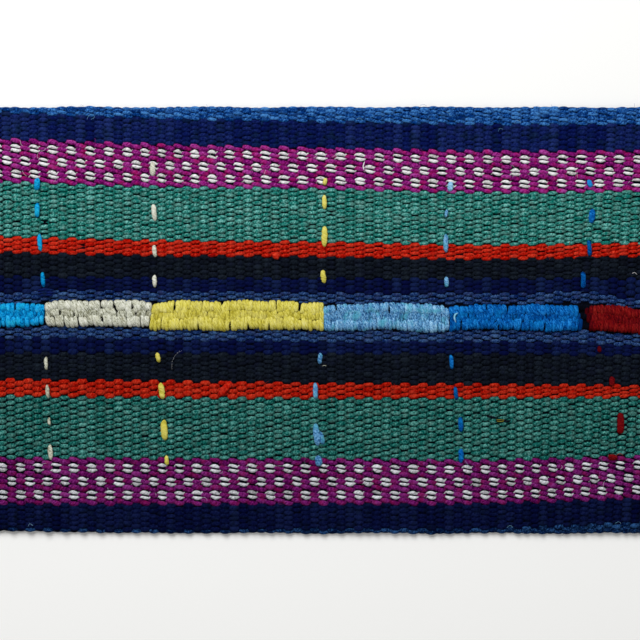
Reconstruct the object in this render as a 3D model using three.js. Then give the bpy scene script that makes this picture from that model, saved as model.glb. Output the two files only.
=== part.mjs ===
// A cut length of striped, warp-faced flat-woven rug with a band of weft-wrapped wool blocks along it.
// Units are millimetres: X runs along the stripes, Y across them, and Z up from the floor.
// The origin is on the floor under the middle of the length.

import * as THREE from "three";

// The woven ground, one piece, cut plainly on all four sides.
const WEFT_PITCH = 2.9;
const WEFT_COUNT = 76;
const END_MARGIN = 0.5;
const GROUND_LENGTH = WEFT_COUNT * WEFT_PITCH + 2 * END_MARGIN;
const GROUND_WIDTH = 136.6;
const GROUND_THICKNESS = 2.4;
const CUT_SIDE_THICKNESS = 1.4;
const CUT_SIDE_ROLL = 2.2;
const EDGE_WANDER = { depth: 0.35, sideLength: 36.9, endLength: 27.3 };

// How finely the ground's faces are divided: columns along it, and zones outwards from its middle line.
const GROUND_COLUMNS = 38;
const ROW_ZONES = [
  { upTo: 10, divisions: 6 },
  { upTo: GROUND_WIDTH / 2 - CUT_SIDE_ROLL, divisions: 6 },
  { upTo: GROUND_WIDTH / 2, divisions: 2 },
];

// The slow swells of a cloth that lies loose: height, wave lengths along X and Y, and phase in radians.
const SWELLS = [
  { height: 0.09, alongX: 96, alongY: 74, phase: 0.6 },
  { height: 0.07, alongX: -58, alongY: 41, phase: 2.1 },
  { height: 0.05, alongX: 31, alongY: -52, phase: 4.4 },
];

// The two slate cords that the ground raises beside the blocks: the Y of each at stations along X.
const CORD = { halfWidth: 1.5, height: 0.35 };
const CORD_STATIONS = [
  { x: -110.7, upper: 7.0, lower: -4.0 },
  { x: -99.8, upper: 7.0, lower: -4.0 },
  { x: -79.4, upper: 8.1, lower: -3.8 },
  { x: -58.9, upper: 7.6, lower: -4.2 },
  { x: -38.4, upper: 7.6, lower: -4.7 },
  { x: -17.9, upper: 7.5, lower: -4.8 },
  { x: 2.6, upper: 7.1, lower: -5.2 },
  { x: 23.0, upper: 6.9, lower: -5.1 },
  { x: 43.5, upper: 7.1, lower: -5.1 },
  { x: 64.0, upper: 7.0, lower: -5.2 },
  { x: 84.5, upper: 7.6, lower: -5.4 },
  { x: 99.8, upper: 5.4, lower: -6.4 },
  { x: 110.7, upper: 4.6, lower: -7.0 },
];

// The upper cord bulges where the blocks leave a gap.
const CORD_BULGE = { x: 87.2, halfLength: 9, height: 0.45 };

// Between the cords the ground is pressed down a little by the wrapped weft.
const BAND_TROUGH = 0.3;

// The blocks of wrapped weft: X from and to, the Y of the top and bottom edge at those two ends,
// the height of the crown, and the wool's colour.
const BLOCKS = [
  {
    name: "block_bright_blue",
    from: { x: -109.7, top: 5.6, bottom: -2.2 },
    to: { x: -88.1, top: 5.6, bottom: -2.2 },
    crown: 1.25,
    color: 0x1496dc,
  },
  {
    name: "block_cream",
    from: { x: -87.8, top: 6.5, bottom: -2.4 },
    to: { x: -54.5, top: 6.6, bottom: -2.7 },
    crown: 1.4,
    color: 0xc4c4b2,
  },
  {
    name: "block_yellow",
    from: { x: -54.2, top: 6.4, bottom: -3.2 },
    to: { x: 0.9, top: 6.4, bottom: -3.3 },
    crown: 1.45,
    color: 0xd2c450,
  },
  {
    name: "block_light_blue",
    from: { x: 1.2, top: 5.6, bottom: -3.2 },
    to: { x: 41.2, top: 5.6, bottom: -3.4 },
    crown: 1.25,
    color: 0x6f9cbe,
  },
  {
    name: "block_azure",
    from: { x: 41.5, top: 5.7, bottom: -3.6 },
    to: { x: 83.4, top: 5.7, bottom: -3.7 },
    crown: 1.3,
    color: 0x0f5fa8,
  },
  {
    name: "block_dark_red",
    from: { x: 86.2, top: 5.4, bottom: -4.0 },
    to: { x: 109.7, top: 2.7, bottom: -5.7 },
    crown: 1.3,
    color: 0x6e1216,
  },
];

// Each block wraps three bundles of warp, so three ribs run along it with two creases between them.
const BLOCK_SEAT = 0.3;
const BLOCK_RIM = 0.4;
const BLOCK_END_ROUND = 1.3;
const BLOCK_RIBS = 3;
const BLOCK_CREASE = 0.3;
const MIDDLE_RIB_SINK = 0.18;
const BLOCK_UNEVENNESS = { height: 0.08, waveLength: 8.3 };
const BLOCK_COLUMN = 4;
const BLOCK_ROWS = 3 * BLOCK_RIBS;

const WOOL_ROUGHNESS = 0.95;
const GROUND_COLOR = 0x2d665f;

// 0 at the near end of a span, 1 at its far end, with no kink at either.
function eased(value, near, far) {
  return THREE.MathUtils.smoothstep(value, near, far);
}

// A hump of height 1 at the middle that dies out at the half width.
function hump(distance, halfWidth) {
  return 1 - eased(Math.abs(distance), 0, halfWidth);
}

// A shoulder like a quarter of an ellipse: 0 at the very edge, and 1 from the end of the rounding on.
function shoulder(fromEdge, rounding) {
  const inward = THREE.MathUtils.clamp(fromEdge / rounding, 0, 1);
  return Math.sqrt(1 - (1 - inward) ** 2);
}

// The Y of a slate cord's middle at a place along the length, which is inside the first and last stations.
function cordLine(side, x) {
  const next = Math.max(1, CORD_STATIONS.findIndex((station) => station.x >= x));
  const before = CORD_STATIONS[next - 1];
  const after = CORD_STATIONS[next];
  return THREE.MathUtils.lerp(before[side], after[side], eased(x, before.x, after.x));
}

// How far the two cords and the trough between them lift or lower the ground's top face.
function bandRelief(x, y) {
  const upper = cordLine("upper", x);
  const lower = cordLine("lower", x);
  const bulge = CORD_BULGE.height * hump(x - CORD_BULGE.x, CORD_BULGE.halfLength);
  const upperCord = (CORD.height + bulge) * hump(y - upper, CORD.halfWidth);
  const lowerCord = CORD.height * hump(y - lower, CORD.halfWidth);
  const aboveLower = eased(y, lower, lower + CORD.halfWidth);
  const belowUpper = 1 - eased(y, upper - CORD.halfWidth, upper);
  const inside = aboveLower * belowUpper;
  return upperCord + lowerCord - BAND_TROUGH * inside;
}

// The slow unevenness of the loose cloth.
function swellAt(x, y) {
  const turns = (wave) => x / wave.alongX + y / wave.alongY;
  const rise = (wave) => wave.height * Math.sin(2 * Math.PI * turns(wave) + wave.phase);
  return SWELLS.reduce((sum, wave) => sum + rise(wave), 0);
}

// The ground's top face.
function groundTop(x, y) {
  const roll = shoulder(GROUND_WIDTH / 2 - Math.abs(y), CUT_SIDE_ROLL);
  const thickness = THREE.MathUtils.lerp(CUT_SIDE_THICKNESS, GROUND_THICKNESS, roll);
  return thickness + swellAt(x, y) + bandRelief(x, y);
}

// How far an edge draws in at a place along it, and 0 at its middle.
function wander(along, waveLength) {
  return EDGE_WANDER.depth * 0.5 * (1 - Math.cos((2 * Math.PI * along) / waveLength));
}

// The Y of a row of the ground's grid, counted from the middle line.
function rowLine(row) {
  let left = Math.abs(row);
  let start = 0;
  for (const zone of ROW_ZONES) {
    if (left <= zone.divisions) {
      return Math.sign(row) * THREE.MathUtils.lerp(start, zone.upTo, left / zone.divisions);
    }
    left -= zone.divisions;
    start = zone.upTo;
  }
  return (Math.sign(row) * GROUND_WIDTH) / 2;
}

// Moves every point of a geometry to the place that a function gives for it.
function shape(geometry, placeOf) {
  const points = geometry.getAttribute("position");
  const point = new THREE.Vector3();
  for (let i = 0; i < points.count; i += 1) {
    point.fromBufferAttribute(points, i);
    const place = placeOf(point);
    points.setXYZ(i, place.x, place.y, place.z);
  }
  geometry.computeVertexNormals();
  return geometry;
}

function wool(color) {
  return new THREE.MeshStandardMaterial({ color, roughness: WOOL_ROUGHNESS, metalness: 0 });
}

// The ground is flat underneath and uneven on top. Its long sides, cut along the warp, are rolled down,
// and its outline is a little wavy.
function buildGround() {
  const halfRows = ROW_ZONES.reduce((sum, zone) => sum + zone.divisions, 0);
  const rows = 2 * halfRows;
  const blank = new THREE.BoxGeometry(GROUND_LENGTH, rows, 1, GROUND_COLUMNS, rows, 1);
  const geometry = shape(blank, (point) => {
    const straightY = rowLine(Math.round(point.y));
    const drawIn = 1 - wander(point.x, EDGE_WANDER.sideLength) / (GROUND_WIDTH / 2);
    const pullBack = 1 - wander(straightY, EDGE_WANDER.endLength) / (GROUND_LENGTH / 2);
    return {
      x: point.x * pullBack,
      y: straightY * drawIn,
      z: point.z < 0 ? 0 : groundTop(point.x, straightY),
    };
  });
  const mesh = new THREE.Mesh(geometry, wool(GROUND_COLOR));
  mesh.name = "cloth";
  return mesh;
}

// The thickness of a block, where across is 0 at its bottom edge and 1 at its top edge.
function blockThickness(block, x, across) {
  const ribWidth = 1 / BLOCK_RIBS;
  const endRound = shoulder(Math.min(x - block.from.x, block.to.x - x), BLOCK_END_ROUND);
  const sideRound = shoulder(Math.min(across, 1 - across), ribWidth);
  const crease = BLOCK_CREASE * (0.5 + 0.5 * Math.cos((2 * Math.PI * across) / ribWidth));
  const sink = MIDDLE_RIB_SINK * hump(across - 0.5, ribWidth);
  const uneven = BLOCK_UNEVENNESS.height * Math.sin((2 * Math.PI * x) / BLOCK_UNEVENNESS.waveLength);
  const proud = block.crown - BLOCK_RIM - crease - sink + uneven;
  return BLOCK_RIM + proud * endRound * sideRound;
}

// A block lies on the ground with a hair of room, and its crown shows its three ribs.
function buildBlock(block) {
  const length = block.to.x - block.from.x;
  const columns = Math.round(length / BLOCK_COLUMN);
  const blank = new THREE.BoxGeometry(1, 1, 1, columns, BLOCK_ROWS, 1);
  const geometry = shape(blank, (point) => {
    const along = point.x + 0.5;
    const across = point.y + 0.5;
    const x = THREE.MathUtils.lerp(block.from.x, block.to.x, along);
    const top = THREE.MathUtils.lerp(block.from.top, block.to.top, along);
    const bottom = THREE.MathUtils.lerp(block.from.bottom, block.to.bottom, along);
    const y = THREE.MathUtils.lerp(bottom, top, across);
    const seat = groundTop(x, y) + BLOCK_SEAT;
    return { x, y, z: point.z < 0 ? seat : seat + blockThickness(block, x, across) };
  });
  const mesh = new THREE.Mesh(geometry, wool(block.color));
  mesh.name = block.name;
  return mesh;
}

const rug = new THREE.Group();
rug.add(buildGround());
for (const block of BLOCKS) {
  rug.add(buildBlock(block));
}

export default rug;
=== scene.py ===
"""Weaves a cut length of striped, warp-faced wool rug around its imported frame, yarn by yarn.

Sizes are millimetres until a mesh is written, which is in metres. X runs along the stripes, Y across
them and Z up from the floor.
"""

import logging
import math
from collections.abc import Callable, Sequence
from dataclasses import dataclass, field
from enum import Enum
from functools import partial
from typing import Any

import bmesh
import bpy
import numpy as np
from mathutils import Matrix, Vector


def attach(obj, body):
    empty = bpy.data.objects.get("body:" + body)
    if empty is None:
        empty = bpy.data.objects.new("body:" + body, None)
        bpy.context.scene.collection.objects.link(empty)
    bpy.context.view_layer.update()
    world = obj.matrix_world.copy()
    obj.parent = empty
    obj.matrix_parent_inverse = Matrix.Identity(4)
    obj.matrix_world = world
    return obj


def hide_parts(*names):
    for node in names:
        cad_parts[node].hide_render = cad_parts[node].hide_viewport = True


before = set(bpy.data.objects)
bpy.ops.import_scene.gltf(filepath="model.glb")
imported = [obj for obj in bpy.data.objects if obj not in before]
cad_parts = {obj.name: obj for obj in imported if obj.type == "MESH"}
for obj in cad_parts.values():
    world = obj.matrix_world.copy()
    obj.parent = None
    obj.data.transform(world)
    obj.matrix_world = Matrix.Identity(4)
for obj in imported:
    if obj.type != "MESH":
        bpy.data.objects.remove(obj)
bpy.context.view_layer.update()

LOG = logging.getLogger("rug")
BODY = "root"
METRES_PER_MM = 0.001
SEED = 2611

# The photograph: its size, and what one of its pixels is on the cloth.
PHOTO_PIXELS = 640
MM_PER_PIXEL = 0.32
MIDDLE_ROW = PHOTO_PIXELS / 2 + 0.5

# The sides that the widths of the warps and of the blocks' strands are measured along.
ACROSS = Vector((0, 1, 0))
BACKWARDS = Vector((-1, 0, 0))

# The fibres of each yarn start at a random length up to this, so that no two yarns look alike.
START_RANGE = 400.0

# How round the tips of a short yarn are, as a power.
TIP_ROUNDNESS = 0.6

Array = np.ndarray


def eased(value: Array, near: float | Array, far: float | Array) -> Array:
    """Rises from 0 at the near end of a span to 1 at its far end, with no kink.

    Args:
        value: Places to look at.
        near: Where the rise starts.
        far: Where it ends.

    Returns:
        The height of the rise at each place.
    """
    share = np.clip((value - near) / (far - near), 0.0, 1.0)
    return share * share * (3.0 - 2.0 * share)


def hump(distance: Array, half_width: float) -> Array:
    """A hump of height 1 at its middle that dies out at the half width.

    Args:
        distance: Distance from the middle.
        half_width: Where the hump ends.

    Returns:
        The hump's height.
    """
    return 1.0 - eased(np.abs(distance), 0.0, half_width)


def curve_through(value: Array, stations: Sequence[float], heights: Sequence[float]) -> Array:
    """A smooth curve through a few stations, level beyond the first and the last.

    Args:
        value: Places to look at.
        stations: Where the heights are given, rising.
        heights: The curve's height at each station.

    Returns:
        The curve's height at each place.
    """
    places = np.asarray(stations, float)
    levels = np.asarray(heights, float)
    slopes = np.gradient(levels, places)
    inside = np.clip(value, places[0], places[-1])
    after = np.clip(np.searchsorted(places, inside), 1, len(places) - 1)
    before = after - 1
    span = places[after] - places[before]
    share = (inside - places[before]) / span
    start = levels[before] * (2 * share**3 - 3 * share**2 + 1)
    end = levels[after] * (3 * share**2 - 2 * share**3)
    leaving = slopes[before] * span * (share**3 - 2 * share**2 + share)
    arriving = slopes[after] * span * (share**3 - share**2)
    return start + end + leaving + arriving


@dataclass(frozen=True)
class Swell:
    """One slow wave of the loose cloth: its height, its wave lengths and its phase in radians."""

    height: float
    along_x: float
    along_y: float
    phase: float

    def at(self, x: Array, y: Array) -> Array:
        """The wave's height at places on the cloth."""
        return self.height * np.sin(2.0 * np.pi * (x / self.along_x + y / self.along_y) + self.phase)


@dataclass(frozen=True)
class CordStation:
    """Where the two slate cords lie at one place along the cloth."""

    x: float
    upper: float
    lower: float


class Side(Enum):
    """The two sides of the band of blocks."""

    UPPER = "upper"
    LOWER = "lower"


@dataclass(frozen=True)
class ClothForm:
    """The outside form of the woven ground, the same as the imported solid's."""

    length: float = 221.4
    width: float = 136.6
    thickness: float = 2.4
    cut_side_thickness: float = 1.4
    cut_side_roll: float = 2.2
    edge_wander: float = 0.35
    side_wave: float = 36.9
    end_wave: float = 27.3
    cord_half_width: float = 1.5
    cord_height: float = 0.35
    bulge_x: float = 87.2
    bulge_half_length: float = 9.0
    bulge_height: float = 0.45
    trough: float = 0.3
    swells: tuple[Swell, ...] = (
        Swell(0.09, 96.0, 74.0, 0.6),
        Swell(0.07, -58.0, 41.0, 2.1),
        Swell(0.05, 31.0, -52.0, 4.4),
    )
    cords: tuple[CordStation, ...] = (
        CordStation(-110.7, 7.0, -4.0),
        CordStation(-99.8, 7.0, -4.0),
        CordStation(-79.4, 8.1, -3.8),
        CordStation(-58.9, 7.6, -4.2),
        CordStation(-38.4, 7.6, -4.7),
        CordStation(-17.9, 7.5, -4.8),
        CordStation(2.6, 7.1, -5.2),
        CordStation(23.0, 6.9, -5.1),
        CordStation(43.5, 7.1, -5.1),
        CordStation(64.0, 7.0, -5.2),
        CordStation(84.5, 7.6, -5.4),
        CordStation(99.8, 5.4, -6.4),
        CordStation(110.7, 4.6, -7.0),
    )

    def cord_line(self, side: Side, x: Array) -> Array:
        """The Y of a slate cord's middle.

        Args:
            side: Which of the two cords.
            x: Places along the cloth.

        Returns:
            The cord's Y at each place.
        """
        places = np.array([station.x for station in self.cords])
        heights = np.array([getattr(station, side.value) for station in self.cords])
        inside = np.clip(x, places[0], places[-1])
        after = np.clip(np.searchsorted(places, inside), 1, len(places) - 1)
        share = eased(inside, places[after - 1], places[after])
        return heights[after - 1] + (heights[after] - heights[after - 1]) * share

    def band_relief(self, x: Array, y: Array) -> Array:
        """How far the two cords and the trough between them lift or lower the top face."""
        upper = self.cord_line(Side.UPPER, x)
        lower = self.cord_line(Side.LOWER, x)
        bulge = self.bulge_height * hump(x - self.bulge_x, self.bulge_half_length)
        upper_cord = (self.cord_height + bulge) * hump(y - upper, self.cord_half_width)
        lower_cord = self.cord_height * hump(y - lower, self.cord_half_width)
        above_lower = eased(y, lower, lower + self.cord_half_width)
        below_upper = 1.0 - eased(y, upper - self.cord_half_width, upper)
        return upper_cord + lower_cord - self.trough * above_lower * below_upper

    def top(self, x: Array, y: Array) -> Array:
        """The height of the ground's top face.

        Args:
            x: Places along the cloth.
            y: Places across it.

        Returns:
            The height above the floor.
        """
        inward = np.clip((self.width / 2 - np.abs(y)) / self.cut_side_roll, 0.0, 1.0)
        roll = np.sqrt(1.0 - (1.0 - inward) ** 2)
        body = self.cut_side_thickness + (self.thickness - self.cut_side_thickness) * roll
        return body + sum(swell.at(x, y) for swell in self.swells) + self.band_relief(x, y)

    def draw_in(self, along: Array, wave: float) -> Array:
        """How far an edge draws in at places along it, and 0 at its middle."""
        return self.edge_wander * 0.5 * (1.0 - np.cos(2.0 * np.pi * along / wave))

    def half_width_at(self, x: Array) -> Array:
        """How far the cut sides lie from the middle line."""
        return self.width / 2 - self.draw_in(x, self.side_wave)

    def half_length_at(self, y: Array) -> Array:
        """How far the cut ends lie from the middle."""
        return self.length / 2 - self.draw_in(y, self.end_wave)


@dataclass(frozen=True)
class WeftSetting:
    """Where the hidden wefts lie. They crowd and spread a little, as beaten by hand.

    The shifts are how far a weft lies from its even place, at stations along the cloth, where it crosses
    the upper and the lower stripe of magenta and white.

    Attributes:
        run_out: How far past the two stripes the shifts still grow, as a share of the way between them.
    """

    pitch: float = 2.9
    count: int = 76
    shift_stations: tuple[float, ...] = (-100, -80, -60, -40, -20, 0, 20, 40, 60, 80, 100)
    upper_y: float = 50.0
    upper_shifts: tuple[float, ...] = (-0.4, 0.0, 0.6, -0.9, -1.5, -1.1, 0.2, 0.0, 0.3, 1.0, 2.0)
    lower_y: float = -50.0
    lower_shifts: tuple[float, ...] = (1.2, 0.8, 0.6, -0.3, 0.0, -0.4, -0.6, -0.5, -1.0, -2.6, -4.0)
    run_out: float = 0.2

    def even_place(self, pick: Array) -> Array:
        """The X of a pick, which may be a fraction between two wefts, if all were evenly spaced."""
        return (pick - (self.count - 1) / 2) * self.pitch

    def place(self, pick: Array, y: Array) -> Array:
        """The X of a pick where its weft really lies.

        Args:
            pick: Weft numbers from the left end.
            y: Where the weft is looked at.

        Returns:
            The X of each.
        """
        even = self.even_place(pick)
        upper = curve_through(even, self.shift_stations, self.upper_shifts)
        lower = curve_through(even, self.shift_stations, self.lower_shifts)
        share = (y - self.lower_y) / (self.upper_y - self.lower_y)
        share = np.clip(share, -self.run_out, 1.0 + self.run_out)
        return even + lower + (upper - lower) * share


@dataclass
class Yarn:
    """One yarn to be spun into a tube.

    Attributes:
        path: Middle of each ring, a row for each.
        half_width: Half of the yarn's width at each ring, measured along side.
        half_height: Half of its height at each ring.
        side: The direction that the width is measured in.
        tone: Lightness of the wool at each ring, with 0.5 for its plain colour.
        lift: How far each ring stands clear of the gaps, from 0 to 1. The lower it is, the more painted
            shade the finish gives it.
        start: A length that sets this yarn's fibres apart from another's.
        sides: How many sides its section has.
        twist_turn: The length in which its fibres go once round it.
    """

    path: Array
    half_width: Array
    half_height: Array
    side: Vector
    tone: Array
    lift: Array
    start: float
    sides: int = 6
    twist_turn: float = 2.6


def add_object(name: str, data: bpy.types.ID) -> bpy.types.Object:
    """Puts a mesh, a lamp or a camera into the scene."""
    made = bpy.data.objects.new(name, data)
    bpy.context.scene.collection.objects.link(made)
    return made


def mesh_from(name: str, bm: bmesh.types.BMesh) -> bpy.types.Mesh:
    """Writes a bmesh to a new mesh, and frees it."""
    mesh = bpy.data.meshes.new(name)
    bm.to_mesh(mesh)
    bm.free()
    return mesh


def points_of(mesh: bpy.types.Mesh) -> Array:
    """The places of a mesh's points, a row for each."""
    points = np.empty(len(mesh.vertices) * 3)
    mesh.vertices.foreach_get("co", points)
    return points.reshape(-1, 3)


def write_attribute(mesh: bpy.types.Mesh, name: str, domain: str, values: Array) -> None:
    """Writes one attribute of a mesh, a number or a vector for each of its points or corners."""
    kind, part = ("FLOAT", "value") if values.ndim == 1 else ("FLOAT_VECTOR", "vector")
    attribute = mesh.attributes.new(name, kind, domain)
    attribute.data.foreach_set(part, values.astype(np.float32).ravel())


class YarnSpinner:
    """Turns yarns into one mesh of closed tubes with the attributes that the wool finishes read."""

    def __init__(self) -> None:
        """Starts with no blank tubes."""
        self._blanks: dict[tuple[int, int], tuple[bpy.types.Mesh, Array, Array, Array]] = {}

    def blank(self, rings: int, sides: int) -> tuple[bpy.types.Mesh, Array, Array, Array]:
        """A straight closed tube, and where its points are.

        Args:
            rings: How many rings it has along it.
            sides: How many points a ring has.

        Returns:
            The mesh, each point's ring number, and the cosine and sine of its place round the ring.
        """
        if (rings, sides) not in self._blanks:
            bm = bmesh.new()
            bmesh.ops.create_cone(
                bm, cap_ends=True, cap_tris=False, segments=sides, radius1=1, radius2=1, depth=rings - 1
            )
            # Its long edges run from one end to the other.
            along = [edge for edge in bm.edges if abs(edge.verts[0].co.z - edge.verts[1].co.z) > 0.5]
            bmesh.ops.subdivide_edges(bm, edges=along, cuts=rings - 2, use_grid_fill=True)
            bmesh.ops.translate(bm, verts=bm.verts, vec=(0, 0, (rings - 1) / 2))
            mesh = mesh_from(f"blank_{rings}_{sides}", bm)
            points = points_of(mesh)
            ring = np.rint(points[:, 2]).astype(int)
            self._blanks[rings, sides] = (mesh, ring, points[:, 0], points[:, 1])
        return self._blanks[rings, sides]

    def spin(self, name: str, yarns: Sequence[Yarn]) -> bpy.types.Object:
        """Builds one object out of many yarns.

        Args:
            name: The piece's name.
            yarns: What it is made of.

        Returns:
            The object, in metres, with its place in its mesh.
        """
        bm = bmesh.new()
        tubes: list[tuple[Array, ...]] = []
        for yarn in yarns:
            blank, ring, cosine, sine = self.blank(len(yarn.path), yarn.sides)
            bm.from_mesh(blank)
            tangent = np.gradient(yarn.path, axis=0)
            tangent /= np.linalg.norm(tangent, axis=1, keepdims=True)
            side = np.array(yarn.side) - tangent * (tangent @ np.array(yarn.side))[:, None]
            side /= np.linalg.norm(side, axis=1, keepdims=True)
            up = np.cross(tangent, side)
            across = side[ring] * (yarn.half_width[ring] * cosine)[:, None]
            above = up[ring] * (yarn.half_height[ring] * sine)[:, None]
            steps = np.linalg.norm(np.diff(yarn.path, axis=0), axis=1)
            length = np.concatenate([[0.0], np.cumsum(steps)])[ring] + yarn.start
            angle = np.mod(np.arctan2(sine, cosine) + np.pi / 2, 2 * np.pi)
            radius = np.full(len(ring), (yarn.half_width.max() + yarn.half_height.max()) / 2)
            turn = np.full(len(ring), yarn.twist_turn)
            # Painted shade: points on a tube's sides and underside get less lift, so the finish paints them
            # darker.
            proud = 0.5 + 0.5 * sine * up[ring][:, 2]
            place = yarn.path[ring] + across + above
            tubes.append((place, yarn.tone[ring], yarn.lift[ring] * proud, length, angle, radius, turn))
        mesh = mesh_from(name, bm)
        places, tones, lifts, *around = [np.concatenate(values) for values in zip(*tubes)]
        mesh.vertices.foreach_set("co", (places * METRES_PER_MM).ravel())
        write_attribute(mesh, "fibre", "CORNER", self.unrolled(mesh, *around))
        write_attribute(mesh, "tone", "POINT", np.clip(tones, 0.0, 1.0))
        write_attribute(mesh, "lift", "POINT", np.clip(lifts, 0.0, 1.0))
        mesh.shade_smooth()
        mesh.update()
        return add_object(name, mesh)

    @staticmethod
    def unrolled(mesh: bpy.types.Mesh, length: Array, angle: Array, radius: Array, turn: Array) -> Array:
        """Works out where each face corner lies on its yarn, unrolled along the twist.

        The seam of the unrolling is along the underside of each yarn.

        Args:
            mesh: The joined tubes.
            length: How far along its yarn each point is.
            angle: Each point's angle round its yarn, from its underside.
            radius: The radius of each point's yarn.
            turn: The length of one turn of its twist.

        Returns:
            For each corner the length and the way round in metres, and the angle of the plies.
        """
        corner = np.empty(len(mesh.loops), np.int32)
        mesh.loops.foreach_get("vertex_index", corner)
        starts = np.empty(len(mesh.polygons), np.int32)
        mesh.polygons.foreach_get("loop_start", starts)
        sizes = np.diff(np.append(starts, len(corner)))
        at_corner = angle[corner]
        spread = np.maximum.reduceat(at_corner, starts) - np.minimum.reduceat(at_corner, starts)
        over_seam = np.repeat(spread > np.pi, sizes) & (at_corner < np.pi)
        at_corner = at_corner + np.where(over_seam, 2 * np.pi, 0.0)
        twisted = at_corner + 2.0 * np.pi * length[corner] / turn[corner]
        way_round = twisted * radius[corner]
        return np.stack([length[corner] * METRES_PER_MM, way_round * METRES_PER_MM, twisted], axis=1)


def linear(hex_colour: str) -> tuple[float, float, float, float]:
    """Turns an sRGB hex colour into the linear one that a shader takes, by the curve of that standard.

    Args:
        hex_colour: Six hex digits after a hash sign.

    Returns:
        Red, green, blue and an alpha of 1.
    """
    channels = [int(hex_colour[i : i + 2], 16) / 255 for i in (1, 3, 5)]
    red, green, blue = [c / 12.92 if c <= 0.04045 else ((c + 0.055) / 1.055) ** 2.4 for c in channels]
    return (red, green, blue, 1.0)


def add_node(tree: bpy.types.NodeTree, kind: str, inputs: dict[Any, Any], **settings: Any) -> bpy.types.Node:
    """Adds a shader node with its settings and links.

    Args:
        tree: The material's node tree.
        kind: The node's type, without the first words that all shader nodes share.
        inputs: A value, or an output to link, for each socket by its name or number.
        settings: Values of the node's own properties.

    Returns:
        The new node.
    """
    node = tree.nodes.new(f"ShaderNode{kind}")
    for name, value in settings.items():
        setattr(node, name, value)
    for socket, value in inputs.items():
        if isinstance(value, bpy.types.NodeSocket):
            tree.links.new(value, node.inputs[socket])
        else:
            node.inputs[socket].default_value = value
    return node


# The numbers of a Mix node's sockets when it mixes colours.
MIX_FACTOR = 0
MIX_FROM = 6
MIX_TO = 7
MIX_RESULT = 2


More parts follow.
